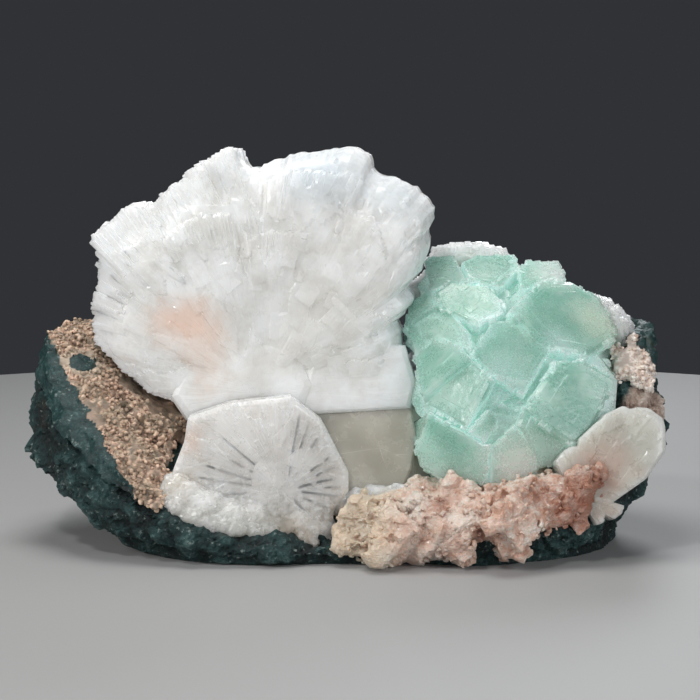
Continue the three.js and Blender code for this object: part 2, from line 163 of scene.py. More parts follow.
class Graph:
    """The node tree of one material."""

    def __init__(self, name: str) -> None:
        """Makes an empty material.

        Args:
            name: The material's name.
        """
        self.material = bpy.data.materials.new(name)
        self.material.use_nodes = True
        self.tree = self.material.node_tree
        self.tree.nodes.clear()

    def node(
        self,
        kind: str,
        settings: Optional[Mapping[str, Any]] = None,
        sockets: Optional[Mapping[Union[str, int], Any]] = None,
    ) -> bpy.types.Node:
        """Adds a node.

        Args:
            kind: The node's type without its ShaderNode prefix.
            settings: The node's own settings, set before its sockets. "stops" are a ramp's
                positions and colours.
            sockets: Input sockets by name or place, each a value or a wire.

        Returns:
            The node.
        """
        made = self.tree.nodes.new("ShaderNode" + kind)
        for key, value in (settings or {}).items():
            if key == "stops":
                self._set_stops(made.color_ramp, value)
            else:
                setattr(made, key, value.value if isinstance(value, Enum) else value)
        for key, value in (sockets or {}).items():
            if isinstance(value, Wire):
                self.tree.links.new(value.socket, made.inputs[key])
            elif value is not None:
                made.inputs[key].default_value = value
        return made

    @staticmethod
    def _set_stops(ramp: bpy.types.ColorRamp, stops: Sequence[tuple[float, Colour]]) -> None:
        """Gives a ramp its positions and colours.

        Args:
            ramp: The ramp of the node.
            stops: Each stop's position and colour.
        """
        while len(ramp.elements) < len(stops):
            ramp.elements.new(0.5)
        for element, (position, colour) in zip(ramp.elements, stops):
            element.position = position
            element.color = (*colour, 1.0)

    def wire(
        self,
        kind: str,
        settings: Optional[Mapping[str, Any]] = None,
        sockets: Optional[Mapping[Union[str, int], Any]] = None,
        output: Union[str, int] = 0,
    ) -> Wire:
        """Adds a node and gives one of its outputs."""
        return Wire(self, self.node(kind, settings, sockets).outputs[output])

    def math(self, op: MathOp, *values: Value) -> Wire:
        """The result of a Math node."""
        return self.wire("Math", {"operation": op}, dict(enumerate(values)))

    def place(self) -> Wire:
        """The surface point in the object's own frame, in millimetres."""
        return self.scaled(self.wire("TexCoord", output="Object"), 1 / MM)

    def scaled(self, vector: Wire, factor: float) -> Wire:
        """A vector times a number."""
        sockets = {"Vector": vector, "Scale": factor}
        return self.wire("VectorMath", {"operation": VectorOp.SCALE}, sockets, "Vector")

    def stretched(self, vector: Wire, factors: Triple) -> Wire:
        """A vector times another, part by part."""
        sockets = {0: vector, 1: factors}
        return self.wire("VectorMath", {"operation": VectorOp.MULTIPLY}, sockets, "Vector")

    def along(self, vector: Wire, origin: Triple, axis: Triple) -> Wire:
        """How far a point lies from an origin along an axis."""
        away = self.wire("VectorMath", {"operation": VectorOp.SUBTRACT}, {0: vector, 1: origin})
        return self.wire("VectorMath", {"operation": VectorOp.DOT}, {0: away, 1: axis}, "Value")

    def distance(self, vector: Wire, origin: Triple) -> Wire:
        """How far a point lies from an origin."""
        sockets = {0: vector, 1: origin}
        return self.wire("VectorMath", {"operation": VectorOp.DISTANCE}, sockets, "Value")

    def vector(self, x: Value, y: Value, z: Value) -> Wire:
        """A vector of three numbers."""
        return self.wire("CombineXYZ", None, {0: x, 1: y, 2: z})

    def noise(self, vector: Wire, size: float, detail: float = 3.0, rough: float = 0.5) -> Wire:
        """Soft noise from 0 to 1 with features of a size."""
        sockets = {"Vector": vector, "Scale": 1 / size, "Detail": detail, "Roughness": rough}
        return self.wire("TexNoise", {"noise_dimensions": "3D"}, sockets)

    def cells(self, vector: Wire, size: float, feature: str = "F1") -> Wire:
        """Distance within cells of a size."""
        sockets = {"Vector": vector, "Scale": 1 / size}
        return self.wire("TexVoronoi", {"feature": feature}, sockets, "Distance")

    def cell_tone(self, vector: Wire, size: float) -> Wire:
        """A random number for each cell of a size.

        Args:
            vector: Where the cells lie.
            size: Their size.

        Returns:
            A number from 0 to 1.
        """
        sockets = {"Vector": vector, "Scale": 1 / size}
        colour = self.wire("TexVoronoi", {"feature": "F1"}, sockets, "Color")
        return self.wire("SeparateColor", None, {0: colour})

    def kept(self, name: str) -> Wire:
        """A number kept on the mesh for each vertex or face."""
        return self.wire("Attribute", {"attribute_name": name}, output="Fac")

    def step(self, value: Wire, low: float, high: float) -> Wire:
        """0 below low, 1 above high and smooth between; high may be the lower one.

        Args:
            value: The number.
            low: Where 0 ends.
            high: Where 1 begins.

        Returns:
            A number from 0 to 1.
        """
        sockets = {"Value": value, "From Min": min(low, high), "From Max": max(low, high)}
        result = self.wire("MapRange", {"interpolation_type": "SMOOTHSTEP"}, sockets)
        return 1 - result if high < low else result

    def ramp(self, value: Wire, stops: Sequence[tuple[float, Colour]]) -> Wire:
        """A colour that depends on a number."""
        return self.wire("ValToRGB", {"stops": stops}, {0: value})

    def blend(
        self, factor: Value, under: Union[Colour, Wire], over: Union[Colour, Wire]
    ) -> Wire:
        """One colour laid over another by a factor.

        Args:
            factor: How much of the upper one shows, from 0 to 1.
            under: The lower colour.
            over: The upper colour.

        Returns:
            The colour.
        """
        colours = [(*c, 1.0) if isinstance(c, tuple) else c for c in (under, over)]
        settings = {"data_type": "RGBA", "blend_type": "MIX", "clamp_factor": True}
        return self.wire("Mix", settings, {0: factor, 6: colours[0], 7: colours[1]}, 2)

    def bump(self, height: Wire, depth: float) -> Wire:
        """A normal that shows a relief of that depth in millimetres."""
        sockets = {"Height": height, "Distance": depth * MM, "Strength": 1.0}
        return self.wire("Bump", None, sockets)

    def finish(self, sockets: Mapping[str, Any]) -> bpy.types.Material:
        """Ends the graph in one Principled shader and gives the material.

        Args:
            sockets: The shader's sockets by name.

        Returns:
            The material.
        """
        shader = self.node("BsdfPrincipled", None, sockets)
        self.node("OutputMaterial", None, {"Surface": Wire(self, shader.outputs[0])})
        return self.material


# ---------------------------------------------------------------- finishes


@dataclass(frozen=True)
class StilbiteFinish:
    """Milky, pearly stilbite with grooves that run out from the fan's root.

    A number kept on the mesh tells how far out a point lies, from 0 at the root to 1 at the rim.
    """

    name: str
    root: Triple
    milk: Colour
    shade: Colour
    across: Triple = (1.0, 0.0, 0.0)
    up: Triple = (0.0, 0.0, 1.0)
    # The rim colour, its strength and its band paint a glow of light into the fan's outer edge.
    rim: Colour = (0.93, 0.96, 0.99)
    painted_rim_glow: float = 0.5
    rim_glow_band: tuple[float, float] = (0.78, 1.04)
    # These paint glints as white streaks along the grooves.
    painted_glint_streaks: float = 0.45
    glint_streak_band: tuple[float, float] = (0.4, 0.85)
    # Spots where the flakes are whitened as painted glints, besides their bumps and lower roughness.
    sparkle: tuple[tuple[Triple, float], ...] = ()
    cracks: float = 0.0
    clear: float = 0.0
    glow: float = 9.0
    tints_and_painted_light: tuple[tuple[Triple, float, Colour, float], ...] = ()
    groove: float = 0.1
    roughness: tuple[float, float] = (0.2, 0.42)

    def material(self) -> bpy.types.Material:
        """Builds the finish.

        Returns:
            The material.
        """
        g = Graph(self.name)
        point = g.place()
        x = g.along(point, self.root, self.across)
        z = g.along(point, self.root, self.up)
        depth_axis = Vector(self.up).cross(Vector(self.across))
        y = g.along(point, self.root, tuple(depth_axis))
        out = g.kept("out")
        reach = (x * x + z * z) ** 0.5
        heading = g.math(MathOp.ANGLE, z, x) + g.noise(point, 14.0, 2.0) * 0.12
        grooves = g.noise(g.vector(heading * 30, reach * 0.05, y * 0.9), 1.0, 3.0, 0.6)
        fine = g.noise(g.vector(heading * 110, reach * 0.14, y * 2.5), 1.0, 2.0, 0.5)
        cloud = g.noise(point, 10.0, 4.0, 0.55)
        patch = g.noise(point, 3.2, 3.0, 0.6)
        colour = g.blend(g.step(cloud, 0.34, 0.66), self.shade, self.milk)
        colour = g.blend(g.step(patch, 0.5, 0.72) * 0.25, colour, self.milk)
        # Painted glow: the colour turns whiter towards the rim.
        edge = g.step(out + (patch - 0.5) * 0.25, *self.rim_glow_band)
        colour = g.blend(edge * self.painted_rim_glow, colour, self.rim)
        # Painted glints: white streaks along the grooves, out from the root.
        streak = g.step(grooves, 0.5, 0.7) * g.step(out, *self.glint_streak_band)
        colour = g.blend(streak * self.painted_glint_streaks, colour, (0.98, 0.99, 1.0))
        # Colour patches: some are the crystal's own tint, some are painted light and painted shade.
        for centre, radius, patch_colour, amount in self.tints_and_painted_light:
            near = g.step(g.distance(point, centre) + cloud * 16.0, radius + 8.0, 6.0)
            colour = g.blend(near * amount, colour, patch_colour)
        if self.cracks:
            bent = g.stretched(point, (1.0, 1.0, 1.6))
            near = g.cells(bent, 9.0, "DISTANCE_TO_EDGE") + g.noise(point, 1.5) * 0.01
            seam = g.step(near, 0.014, 0.006)
            some = g.step(g.noise(point, 6.0, 1.0), 0.5, 0.6)
            colour = g.blend(seam * some * self.cracks, colour, (0.9, 0.86, 0.78))
        low, high = self.roughness
        rough = low + (high - low) * g.step(patch, 0.35, 0.65)
        height = grooves * 0.6 + fine * 0.25 + patch * 0.15
        flake = g.noise(point, 0.8, 3.0, 0.6)
        for centre, radius in self.sparkle:
            near = g.step(g.distance(point, centre) + patch * 5.0, radius + 4.0, radius)
            height = height + near * flake * 1.2
            # Painted glints on the flakes of the sparkle spots.
            colour = g.blend(near * g.step(flake, 0.45, 0.6) * 0.6, colour, (0.98, 0.99, 1.0))
            rough = rough - near * 0.1
        return g.finish(
            {
                "Base Color": colour,
                "Roughness": rough,
                "IOR": 1.5,
                "Subsurface Weight": 0.95,
                "Subsurface Radius": (1.0, 0.95, 0.9),
                "Subsurface Scale": self.glow * MM,
                "Transmission Weight": self.clear,
                "Coat Weight": 0.2,
                "Coat Roughness": 0.1,
                "Normal": g.bump(height, self.groove * 2),
            }
        )


@dataclass(frozen=True)
class ApophylliteFinish:
    """Translucent mint green, with painted glow between the crystals.

    Numbers kept on the mesh tell how frosted a face is and how enclosed a point lies.
    """

    name: str = "apophyllite"
    deep: Colour = (0.34, 0.62, 0.51)
    pale: Colour = (0.56, 0.80, 0.70)
    milk: Colour = (0.84, 0.93, 0.87)
    painted_glow: Colour = (0.74, 0.98, 0.93)
    # Patches: the bright aqua ones are painted glow where light comes through between the crystals,
    # and the dark green one at (36.6, -24, 35) is painted shade; the others make the crystals paler
    # there.
    tints_and_painted_light: tuple[tuple[Triple, float, Colour, float], ...] = (
        ((30.5, -14.0, 53.6), 2.5, (0.78, 0.99, 0.96), 0.75),
        ((34.0, -12.0, 57.0), 2.5, (0.78, 0.99, 0.96), 0.7),
        ((39.1, -8.0, 62.0), 3.5, (0.80, 1.0, 0.97), 0.85),
        ((36.2, -18.0, 45.0), 3.0, (0.74, 0.98, 0.93), 0.7),
        ((39.0, -20.0, 40.0), 3.0, (0.74, 0.98, 0.93), 0.7),
        ((50.5, -14.0, 50.0), 3.5, (0.78, 0.99, 0.95), 0.7),
        ((61.0, -6.0, 55.0), 6.0, (0.80, 0.90, 0.78), 0.5),
        ((36.6, -24.0, 35.0), 2.5, (0.10, 0.26, 0.19), 0.7),
        ((40.0, -27.0, 24.0), 8.0, (0.90, 0.93, 0.84), 0.9),
        ((50.0, -26.0, 27.0), 5.0, (0.80, 0.86, 0.74), 0.5),
        ((25.0, -27.0, 17.0), 5.0, (0.84, 0.86, 0.76), 0.6),
        ((64.0, -4.0, 54.0), 8.0, (0.76, 0.88, 0.70), 0.55),
        ((52.0, 4.0, 66.0), 6.0, (0.86, 0.96, 0.90), 0.8),
        ((22.0, 6.0, 67.0), 6.0, (0.70, 0.92, 0.82), 0.5),
    )
    clear: float = 0.25
    glow: float = 8.0

    def material(self) -> bpy.types.Material:
        """Builds the finish.

        Returns:
            The material.
        """
        g = Graph(self.name)
        point = g.place()
        frost, valley = g.kept("frost"), g.kept("valley")
        cloud = g.noise(point, 12.0, 3.0, 0.5)
        veil = g.noise(point, 4.5, 4.0, 0.6)
        grain = g.noise(point, 0.45, 2.0, 0.6)
        ripple = g.noise(point, 1.3, 2.0, 0.5)
        colour = g.blend(g.step(cloud, 0.35, 0.65), self.deep, self.pale)
        colour = g.blend(g.step(veil, 0.55, 0.75) * 0.3, colour, self.milk)
        # Painted glow: points in the gaps between crystals are brightened towards the glow colour.
        colour = g.blend(g.step(valley, 0.15, 0.6) * 0.7, colour, self.painted_glow)
        # Colour patches, most of them painted glow.
        for centre, radius, patch_colour, amount in self.tints_and_painted_light:
            near = g.step(g.distance(point, centre) + veil * 8.0, radius + 8.0, 4.0)
            colour = g.blend(near * amount, colour, patch_colour)
        colour = g.blend(g.kept("tone") * 0.45, colour, (0.30, 0.55, 0.47))
        rough = 0.2 + 0.1 * g.step(grain, 0.3, 0.7) * frost + 0.12 * g.step(veil, 0.4, 0.7)
        height = (ripple * 0.8 + grain * 0.03) * (0.25 + 0.75 * frost)
        return g.finish(
            {
                "Base Color": colour,
                "Roughness": rough,
                "IOR": 1.535,
                "Subsurface Weight": 0.9,
                "Subsurface Radius": (0.75, 1.0, 0.92),
                "Subsurface Scale": self.glow * MM,
                "Transmission Weight": self.clear,
                # Painted glow: the gaps between crystals give off a faint light of their own.
                "Emission Color": g.blend(g.step(valley, 0.1, 0.6), (0.0, 0.0, 0.0), self.painted_glow),
                "Emission Strength": 0.12,
                "Normal": g.bump(height, 0.14),
            }
        )


@dataclass(frozen=True)
class BasaltFinish:
    """Rough dark green rock with pale specks, with painted shade in its hollows and painted
    highlights on its raised parts.
    """

    name: str = "basalt"
    dark: Colour = (0.003, 0.010, 0.011)
    mid: Colour = (0.012, 0.048, 0.048)
    light: Colour = (0.11, 0.2, 0.19)
    crusts: tuple[tuple[Triple, float], ...] = ()

    def colour(self, g: Graph, point: Wire, height: Wire) -> Wire:
        """The rock's colour at a point that stands out by a height from 0 to 1.

        Args:
            g: The material's graph.
            point: The surface point.
            height: How far it stands out, from 0 to 1.

        Returns:
            The colour.
        """
        lumps = g.noise(point, 5.0, 5.0, 0.65)
        grit = g.noise(point, 0.9, 4.0, 0.7)
        # Painted light and shade: raised points are lighter and hollows darker, through the height
        # in the tone.
        tone = height * 0.55 + lumps * 0.45 + (grit - 0.5) * 0.8
        colour = g.ramp(tone, ((0.3, self.dark), (0.56, self.mid), (0.9, self.light)))
        speck = g.step(g.cell_tone(point, 0.8), 0.86, 0.93) * g.step(grit, 0.48, 0.62)
        colour = g.blend(speck * 0.6, colour, (0.3, 0.36, 0.33))
        rust = g.step(g.noise(point, 9.0, 3.0), 0.62, 0.74)
        colour = g.blend(rust * 0.3, colour, (0.09, 0.075, 0.045))
        stops = ((0.25, (0.14, 0.08, 0.06)), (0.5, (0.5, 0.37, 0.3)), (0.8, (0.84, 0.74, 0.66)))
        tan = g.ramp(tone, stops)
        for centre, radius in self.crusts:
            near = g.step(g.distance(point, centre) + lumps * 6.0, radius + 4.0, radius + 2.0)
            colour = g.blend(near, colour, tan)
        return colour

    def material(self) -> bpy.types.Material:
        """Builds the finish.

        Returns:
            The material.
        """
        g = Graph(self.name)
        point = g.place()
        grit = g.noise(point, 0.9, 4.0, 0.7)
        pits = g.cells(point, 1.4)
        return g.finish(
            {
                "Base Color": self.colour(g, point, g.kept("height")),
                "Roughness": 0.4 + 0.4 * grit,
                "IOR": 1.5,
                "Normal": g.bump(grit * 0.7 + pits * 0.3, 1.3),
            }
        )


@dataclass(frozen=True)
class DruseFinish:
    """Tan grains over a grey brown ground, with painted shade between them, and bare rock past an
    edge.
    """

    name: str
    gap: Colour
    grain: Colour
    crown: Colour
    ground: Colour
    rock: Optional[tuple[Triple, Triple]] = None
    windows: tuple[tuple[Triple, float], ...] = ()

    def material(self) -> bpy.types.Material:
        """Builds the finish.

        Returns:
            The material.
        """
        g = Graph(self.name)
        point = g.place()
        height = 1 - g.kept("valley")
        grains = g.kept("grain")
        tone = g.cell_tone(point, 1.5)
        cloud = g.noise(point, 8.0, 3.0, 0.6)
        fine = g.noise(point, 0.5, 3.0, 0.6)
        # Painted shade and painted highlight: the ramp darkens enclosed points to the gap colour and
        # lightens open grain tops to the crown colour.
        colour = g.ramp(height, ((0.1, self.gap), (0.6, self.grain), (1.0, self.crown)))
        colour = g.blend(tone * 0.4, colour, self.crown)
        colour = g.blend(g.step(tone, 0.75, 0.85) * 0.5, colour, self.ground)
        grey = g.step(cloud, 0.4, 0.6)
        colour = g.blend(grey * (0.85 - grains * 0.45), colour, self.ground)
        # Painted shade: away from the grains the ground is darkened towards the gap colour.
        colour = g.blend((1 - grains) * 0.55, colour, self.gap)
        for centre, radius in self.windows:
            near = g.distance(point, centre) + fine * 1.5 + cloud * 3.0
            inside = g.step(near, radius + 5.0, radius + 3.2)
            colour = g.blend(inside * 0.7, colour, (0.5, 0.42, 0.33))
        rough = 0.3 + 0.4 * fine
        if self.rock:
            bare = g.step(g.kept("bare"), 0.35, 0.65)
            # The bare rock's painted shade follows how enclosed the point is.
            colour = g.blend(bare, colour, BasaltFinish().colour(g, point, height * 0.45 + 0.1))
        return g.finish(
            {
                "Base Color": colour,
                "Roughness": rough,
                "IOR": 1.5,
                "Subsurface Weight": 0.25,
                "Subsurface Radius": (1.0, 0.75, 0.55),
                "Subsurface Scale": 1.0 * MM,
                "Normal": g.bump(fine, 0.25),
            }
        )


@dataclass(frozen=True)
class CrustFinish:
    """Pale pink, translucent crystals, brown red in the recesses and ochre at one end."""

    name: str = "pink_crust"
    pink: Colour = (0.66, 0.37, 0.26)
    deep: Colour = (0.34, 0.12, 0.065)
    white: Colour = (0.80, 0.71, 0.63)
    ochre: Colour = (0.68, 0.56, 0.40)
    stains: tuple[tuple[Triple, float, float], ...] = (
        ((58.0, -32.0, 17.0), 12.0, 0.9),
        ((52.0, -34.0, 12.0), 9.0, 0.8),
        ((31.0, -38.0, 9.0), 5.0, 0.65),
        ((44.0, -34.0, 18.0), 5.0, 0.7),
        ((40.0, -38.0, 6.0), 4.0, 0.6),
        ((21.0, -36.0, 15.0), 3.0, 0.6),
        ((25.0, -38.0, 5.0), 4.0, 0.5),
    )

    def material(self) -> bpy.types.Material:
        """Builds the finish.

        Returns:
            The material.
        """
        g = Graph(self.name)
        point = g.place()
        valley = g.kept("valley")
        cloud = g.noise(point, 9.0, 4.0, 0.6)
        patch = g.noise(point, 2.4, 4.0, 0.65)
        tone = g.cell_tone(point, 1.3)
        fine = g.noise(point, 0.6, 3.0, 0.6)
        right = g.step(g.along(point, (0.0, 0.0, 0.0), (1.0, 0.0, 0.0)) + cloud * 10, 24.0, 44.0)
        colour = g.ramp(cloud, ((0.3, self.pink), (0.58, self.white)))
        colour = g.blend(right * g.step(patch, 0.62, 0.4) * 0.75, colour, self.pink)
        colour = g.blend(g.step(patch, 0.5, 0.68) * 0.6, colour, self.white)
        colour = g.blend(tone * 0.2, colour, self.white)
        for centre, radius, amount in self.stains:
            near = g.step(g.distance(point, centre) + patch * 7.0, radius + 5.0, 4.0)
            colour = g.blend(near * amount, colour, self.deep)
        left = g.step(g.along(point, (0.0, 0.0, 0.0), (1.0, 0.0, 0.0)), 15.0, 4.0)
        colour = g.blend(left * 0.65, colour, self.ochre)
        colour = g.blend(g.step(valley, 0.3, 0.9) * 0.4, colour, self.deep)
        return g.finish(
            {
                "Base Color": colour,
                "Roughness": 0.25 + 0.35 * fine,
                "IOR": 1.5,
                "Subsurface Weight": 0.4,
                "Subsurface Radius": (1.0, 0.65, 0.5),
                "Subsurface Scale": 1.8 * MM,
                "Coat Weight": 0.3,
                "Coat Roughness": 0.15,
                "Normal": g.bump(fine * 0.6 + patch * 0.4, 0.9),
            }
        )


@dataclass(frozen=True)
class FloorFinish:
    """Matt pale table top."""

    name: str = "table_top"
    pale: Colour = (0.4, 0.4, 0.4)

    def material(self) -> bpy.types.Material:
        """Builds the finish.

        Returns:
            The material.
        """
        g = Graph(self.name)
        tone = g.noise(g.place(), 60.0, 3.0)
        colour = g.blend(tone * 0.15, self.pale, (0.33, 0.33, 0.33))
        return g.finish({"Base Color": colour, "Roughness": 0.6})


# ---------------------------------------------------------------- mesh tools


def released(shell: bmesh.types.BMesh, name: str) -> bpy.types.Mesh:
    """A new mesh from a working mesh, which ends.

    Args:
        shell: The working mesh.
        name: The new mesh's name.

    Returns:
        The mesh.
    """
    mesh = bpy.data.meshes.new(name)
    shell.to_mesh(mesh)
    shell.free()
    return mesh


def turned(place: Matrix, degrees: float, axis: str) -> Matrix:
    """A place turned about one of its own axes."""
    return place @ Matrix.Rotation(math.radians(degrees), 4, axis)


@dataclass
class Solid:
    """A convex solid by its corners, in millimetres."""

    corners: list[Vector]

    def mesh(self, name: str) -> bpy.types.Mesh:
        """The solid's hull as a mesh in metres.

        Args:
            name: The mesh's name.

        Returns:
            The mesh.
        """
        shell = bmesh.new()
        for corner in self.corners:
            shell.verts.new(corner * MM)
        made = bmesh.ops.convex_hull(shell, input=shell.verts)
        inside = {v for v in made["geom_interior"] if isinstance(v, bmesh.types.BMVert)}
        inside |= {v for v in made["geom_unused"] if isinstance(v, bmesh.types.BMVert)}
        bmesh.ops.delete(shell, geom=list(inside), context="VERTS")
        return released(shell, name)


def polyhedron(planes: Sequence[tuple[Vector, float]]) -> list[Vector]:
    """Corners of the convex solid that planes bound.

    Args:
        planes: Each plane's outward unit normal and its distance from the origin.

    Returns:
        The corners.
    """
    normals = np.array([tuple(n) for n, _ in planes])
    reaches = np.array([r for _, r in planes])
    corners: list[np.ndarray] = []
    count = len(planes)
    for i in range(count):
        for j in range(i + 1, count):
            for k in range(j + 1, count):
                matrix = normals[[i, j, k]]
                if abs(np.linalg.det(matrix)) < 1e-4:
                    continue
                point = np.linalg.solve(matrix, reaches[[i, j, k]])
                if np.all(normals @ point < reaches + 1e-5):
                    corners.append(point)
    return [Vector(c) for c in corners]


def boolean(operands: Sequence[bpy.types.Mesh], operation: str, name: str) -> bpy.types.Mesh:
    """Joins closed meshes, or cuts the later ones from the first.

    Args:
        operands: Closed meshes. They are removed.
        operation: UNION or DIFFERENCE.
        name: The result's name.

    Returns:
        The resulting closed mesh.
    """
    store = bpy.data.collections.new(name + "_operands")
    first = bpy.data.objects.new(name + "_first", operands[0])
    for i, mesh in enumerate(operands[1:]):
        store.objects.link(bpy.data.objects.new(f"{name}_{i}", mesh))
    tree = bpy.data.node_groups.new(name + "_tree", "GeometryNodeTree")
    tree.interface.new_socket("Geometry", in_out="INPUT", socket_type="NodeSocketGeometry")
    tree.interface.new_socket("Geometry", in_out="OUTPUT", socket_type="NodeSocketGeometry")
    start = tree.nodes.new("NodeGroupInput")
    end = tree.nodes.new("NodeGroupOutput")
    held = tree.nodes.new("GeometryNodeCollectionInfo")
    held.inputs["Collection"].default_value = store
    held.inputs["Separate Children"].default_value = True
    cut = tree.nodes.new("GeometryNodeMeshBoolean")
    cut.operation = operation
    cut.solver = "MANIFOLD"
    if operation == "UNION":
        tree.links.new(start.outputs[0], cut.inputs["Mesh 2"])
    else:
        tree.links.new(start.outputs[0], cut.inputs["Mesh 1"])
    tree.links.new(held.outputs[0], cut.inputs["Mesh 2"])
    tree.links.new(cut.outputs["Mesh"], end.inputs[0])
    bpy.context.scene.collection.objects.link(first)
    modifier = first.modifiers.new("cut", "NODES")
    modifier.node_group = tree
    graph = bpy.context.evaluated_depsgraph_get()
    result = bpy.data.meshes.new_from_object(first.evaluated_get(graph))
    result.name = name
    for thing in [first, *store.objects]:
        mesh = thing.data
        bpy.data.objects.remove(thing)
        bpy.data.meshes.remove(mesh)
    bpy.data.collections.remove(store)
    bpy.data.node_groups.remove(tree)
    return result


def voxelled(source: bpy.types.Mesh, voxel: float, name: str) -> bpy.types.Mesh:
    """An even fine mesh over a closed mesh.

    Args:
        source: The closed mesh, which stays.
        voxel: The grid's pitch.
        name: The result's name.

    Returns:
        The fine mesh.
    """
    holder = bpy.data.objects.new(name, source.copy())
    bpy.context.scene.collection.objects.link(holder)
    modifier = holder.modifiers.new("remesh", "REMESH")
    modifier.mode = "VOXEL"
    modifier.voxel_size = voxel * MM
    graph = bpy.context.evaluated_depsgraph_get()
    result = bpy.data.meshes.new_from_object(holder.evaluated_get(graph))
    old = holder.data
    bpy.data.objects.remove(holder)
    bpy.data.meshes.remove(old)
    result.name = name
    return result


def welded(source: bpy.types.Mesh, name: str) -> bpy.types.Mesh:
    """A copy of a mesh whose faces share their corners.

    Args:
        source: The mesh.
        name: The copy's name.

    Returns:
        The copy.
    """
    shell = bmesh.new()
    shell.from_mesh(source)
    bmesh.ops.remove_doubles(shell, verts=shell.verts, dist=2e-6)
    return released(shell, name)


def refined(source: bpy.types.Mesh, longest: float) -> bpy.types.Mesh:
    """A mesh with its long edges halved until none is longer than a length in millimetres.

    Args:
        source: The mesh.
        longest: The length in millimetres.

    Returns:
        The mesh.
    """
    shell = bmesh.new()
    shell.from_mesh(source)
    bmesh.ops.triangulate(shell, faces=shell.faces)
    for _ in range(6):
        long = [e for e in shell.edges if e.calc_length() > longest * MM]
        if not long:
            break
        bmesh.ops.subdivide_edges(shell, edges=long, cuts=1, use_grid_fill=False)
        bmesh.ops.triangulate(shell, faces=shell.faces)
    shell.to_mesh(source)
    shell.free()
    return source


def pebble(middle: Vector, radius: float, chance: random.Random) -> bpy.types.Mesh:
    """A small rounded grain.

    Args:
        middle: Its middle.
        radius: Its radius.
        chance: Where its shape is drawn from.

    Returns:
        The grain's mesh.
    """
    shell = bmesh.new()
    bmesh.ops.create_icosphere(shell, subdivisions=1, radius=radius * MM)
    turn = Matrix.Rotation(chance.uniform(0, math.pi), 4, Vector((1, chance.random(), 0.3)))
    squeeze = Matrix.Diagonal([chance.uniform(0.75, 1.15) for _ in range(3)]).to_4x4()
    shell.transform(Matrix.Translation(middle * MM) @ turn @ squeeze)
    return released(shell, "grain")


def moved(mesh: bpy.types.Mesh, points: np.ndarray) -> bpy.types.Mesh:
    """A mesh with its vertices at new points in millimetres.

    Args:
        mesh: The mesh.
        points: A point for each vertex.

    Returns:
        The same mesh.
    """
    mesh.vertices.foreach_set("co", (points * MM).ravel())
    mesh.update()
    return mesh


def shards(point: Vector, size: float) -> float:
    """How far crystal faces of about a size, which meet in edges, stand out at a point.

    Args:
        point: The point, in millimetres.
        size: The faces' size.

    Returns:
        The height.
    """
    place = point / size
    centre = noise.voronoi(place)[1][0]
    tilt = noise.noise_vector(centre * 5.3)
    return size * (tilt.dot(place - centre) * 1.3 + tilt.x * 0.4)


def melted(lumps: Sequence[tuple[Triple, float]], voxel: float, name: str) -> bpy.types.Mesh:
    """Round lumps run together into one rough body.

    Args:
        lumps: Each lump's middle and radius.
        voxel: How fine the body is.
        name: The mesh's name.

    Returns:
        The closed mesh.
    """
    shell = bmesh.new()
    for middle, radius in lumps:
        place = Matrix.Translation(Vector(middle) * MM)
        bmesh.ops.create_icosphere(shell, subdivisions=2, radius=radius * MM, matrix=place)
    made = voxelled(released(shell, name), voxel, name)
    points, normals = points_of(made), normals_of(made)
    out = [shards(Vector(p), 3.2) * 0.2 + shards(Vector(p), 1.2) * 0.25 for p in points]
    return moved(made, points + normals * np.array(out)[:, None])


def hollowness(mesh: bpy.types.Mesh, far: float, blur: int = 1) -> np.ndarray:
    """How enclosed each vertex is, from 0 in the open to 1 in a gap.

    Args:
        mesh: The mesh in metres.
        far: How far the surroundings count, in millimetres.
        blur: How often the numbers are evened out along the edges.

    Returns:
        One number for each vertex.
    """
    points, normals = points_of(mesh), normals_of(mesh)
    mesh.calc_loop_triangles()
    triangles = [tuple(t.vertices) for t in mesh.loop_triangles]
    tree = BVHTree.FromPolygons([Vector(p) for p in points], triangles)
    ways = [Vector((0, 0, 1))]
    for i in range(9):
        turn = i * math.tau / 9
        ways.append(Vector((math.cos(turn) * 0.75, math.sin(turn) * 0.75, 0.66)))
    values = []
    for place, up in zip(points, normals):
        normal = Vector(up)
        spin = normal.to_track_quat("Z", "Y")
        start = Vector(place) + normal * 0.05
        hits = 0.0
        for way in ways:
            hit = tree.ray_cast(start, spin @ way, far)
            if hit[0] is not None:
                hits += 1 - hit[3] / far
        values.append(min(1.0, hits / 5))
    even = np.array(values)
    ends = np.empty(len(mesh.edges) * 2, dtype=np.int32)
    mesh.edges.foreach_get("vertices", ends)
    first, last = ends.reshape(-1, 2).T
    for _ in range(blur):
        total, count = even.copy(), np.ones(len(even))
        for one, other in ((first, last), (last, first)):
            np.add.at(total, one, even[other])
            np.add.at(count, one, 1)
        even = total / count
    return even


def points_of(mesh: bpy.types.Mesh) -> np.ndarray:
    """A mesh's vertices in millimetres.

    Args:
        mesh: The mesh.

    Returns:
        A row for each vertex.
    """
    flat = np.empty(len(mesh.vertices) * 3)
    mesh.vertices.foreach_get("co", flat)
    return flat.reshape(-1, 3) / MM


def normals_of(mesh: bpy.types.Mesh) -> np.ndarray:
    """A mesh's vertex normals.

    Args:
        mesh: The mesh.

    Returns:
        A row for each vertex.
    """
    flat = np.empty(len(mesh.vertices) * 3)
    mesh.vertex_normals.foreach_get("vector", flat)
    return flat.reshape(-1, 3)


def keep(mesh: bpy.types.Mesh, name: str, values: Iterable[float]) -> None:
    """Keeps a number on a mesh for each vertex."""
    made = mesh.attributes.new(name, "FLOAT", "POINT")
    made.data.foreach_set("value", np.asarray(list(values), dtype=np.float32))


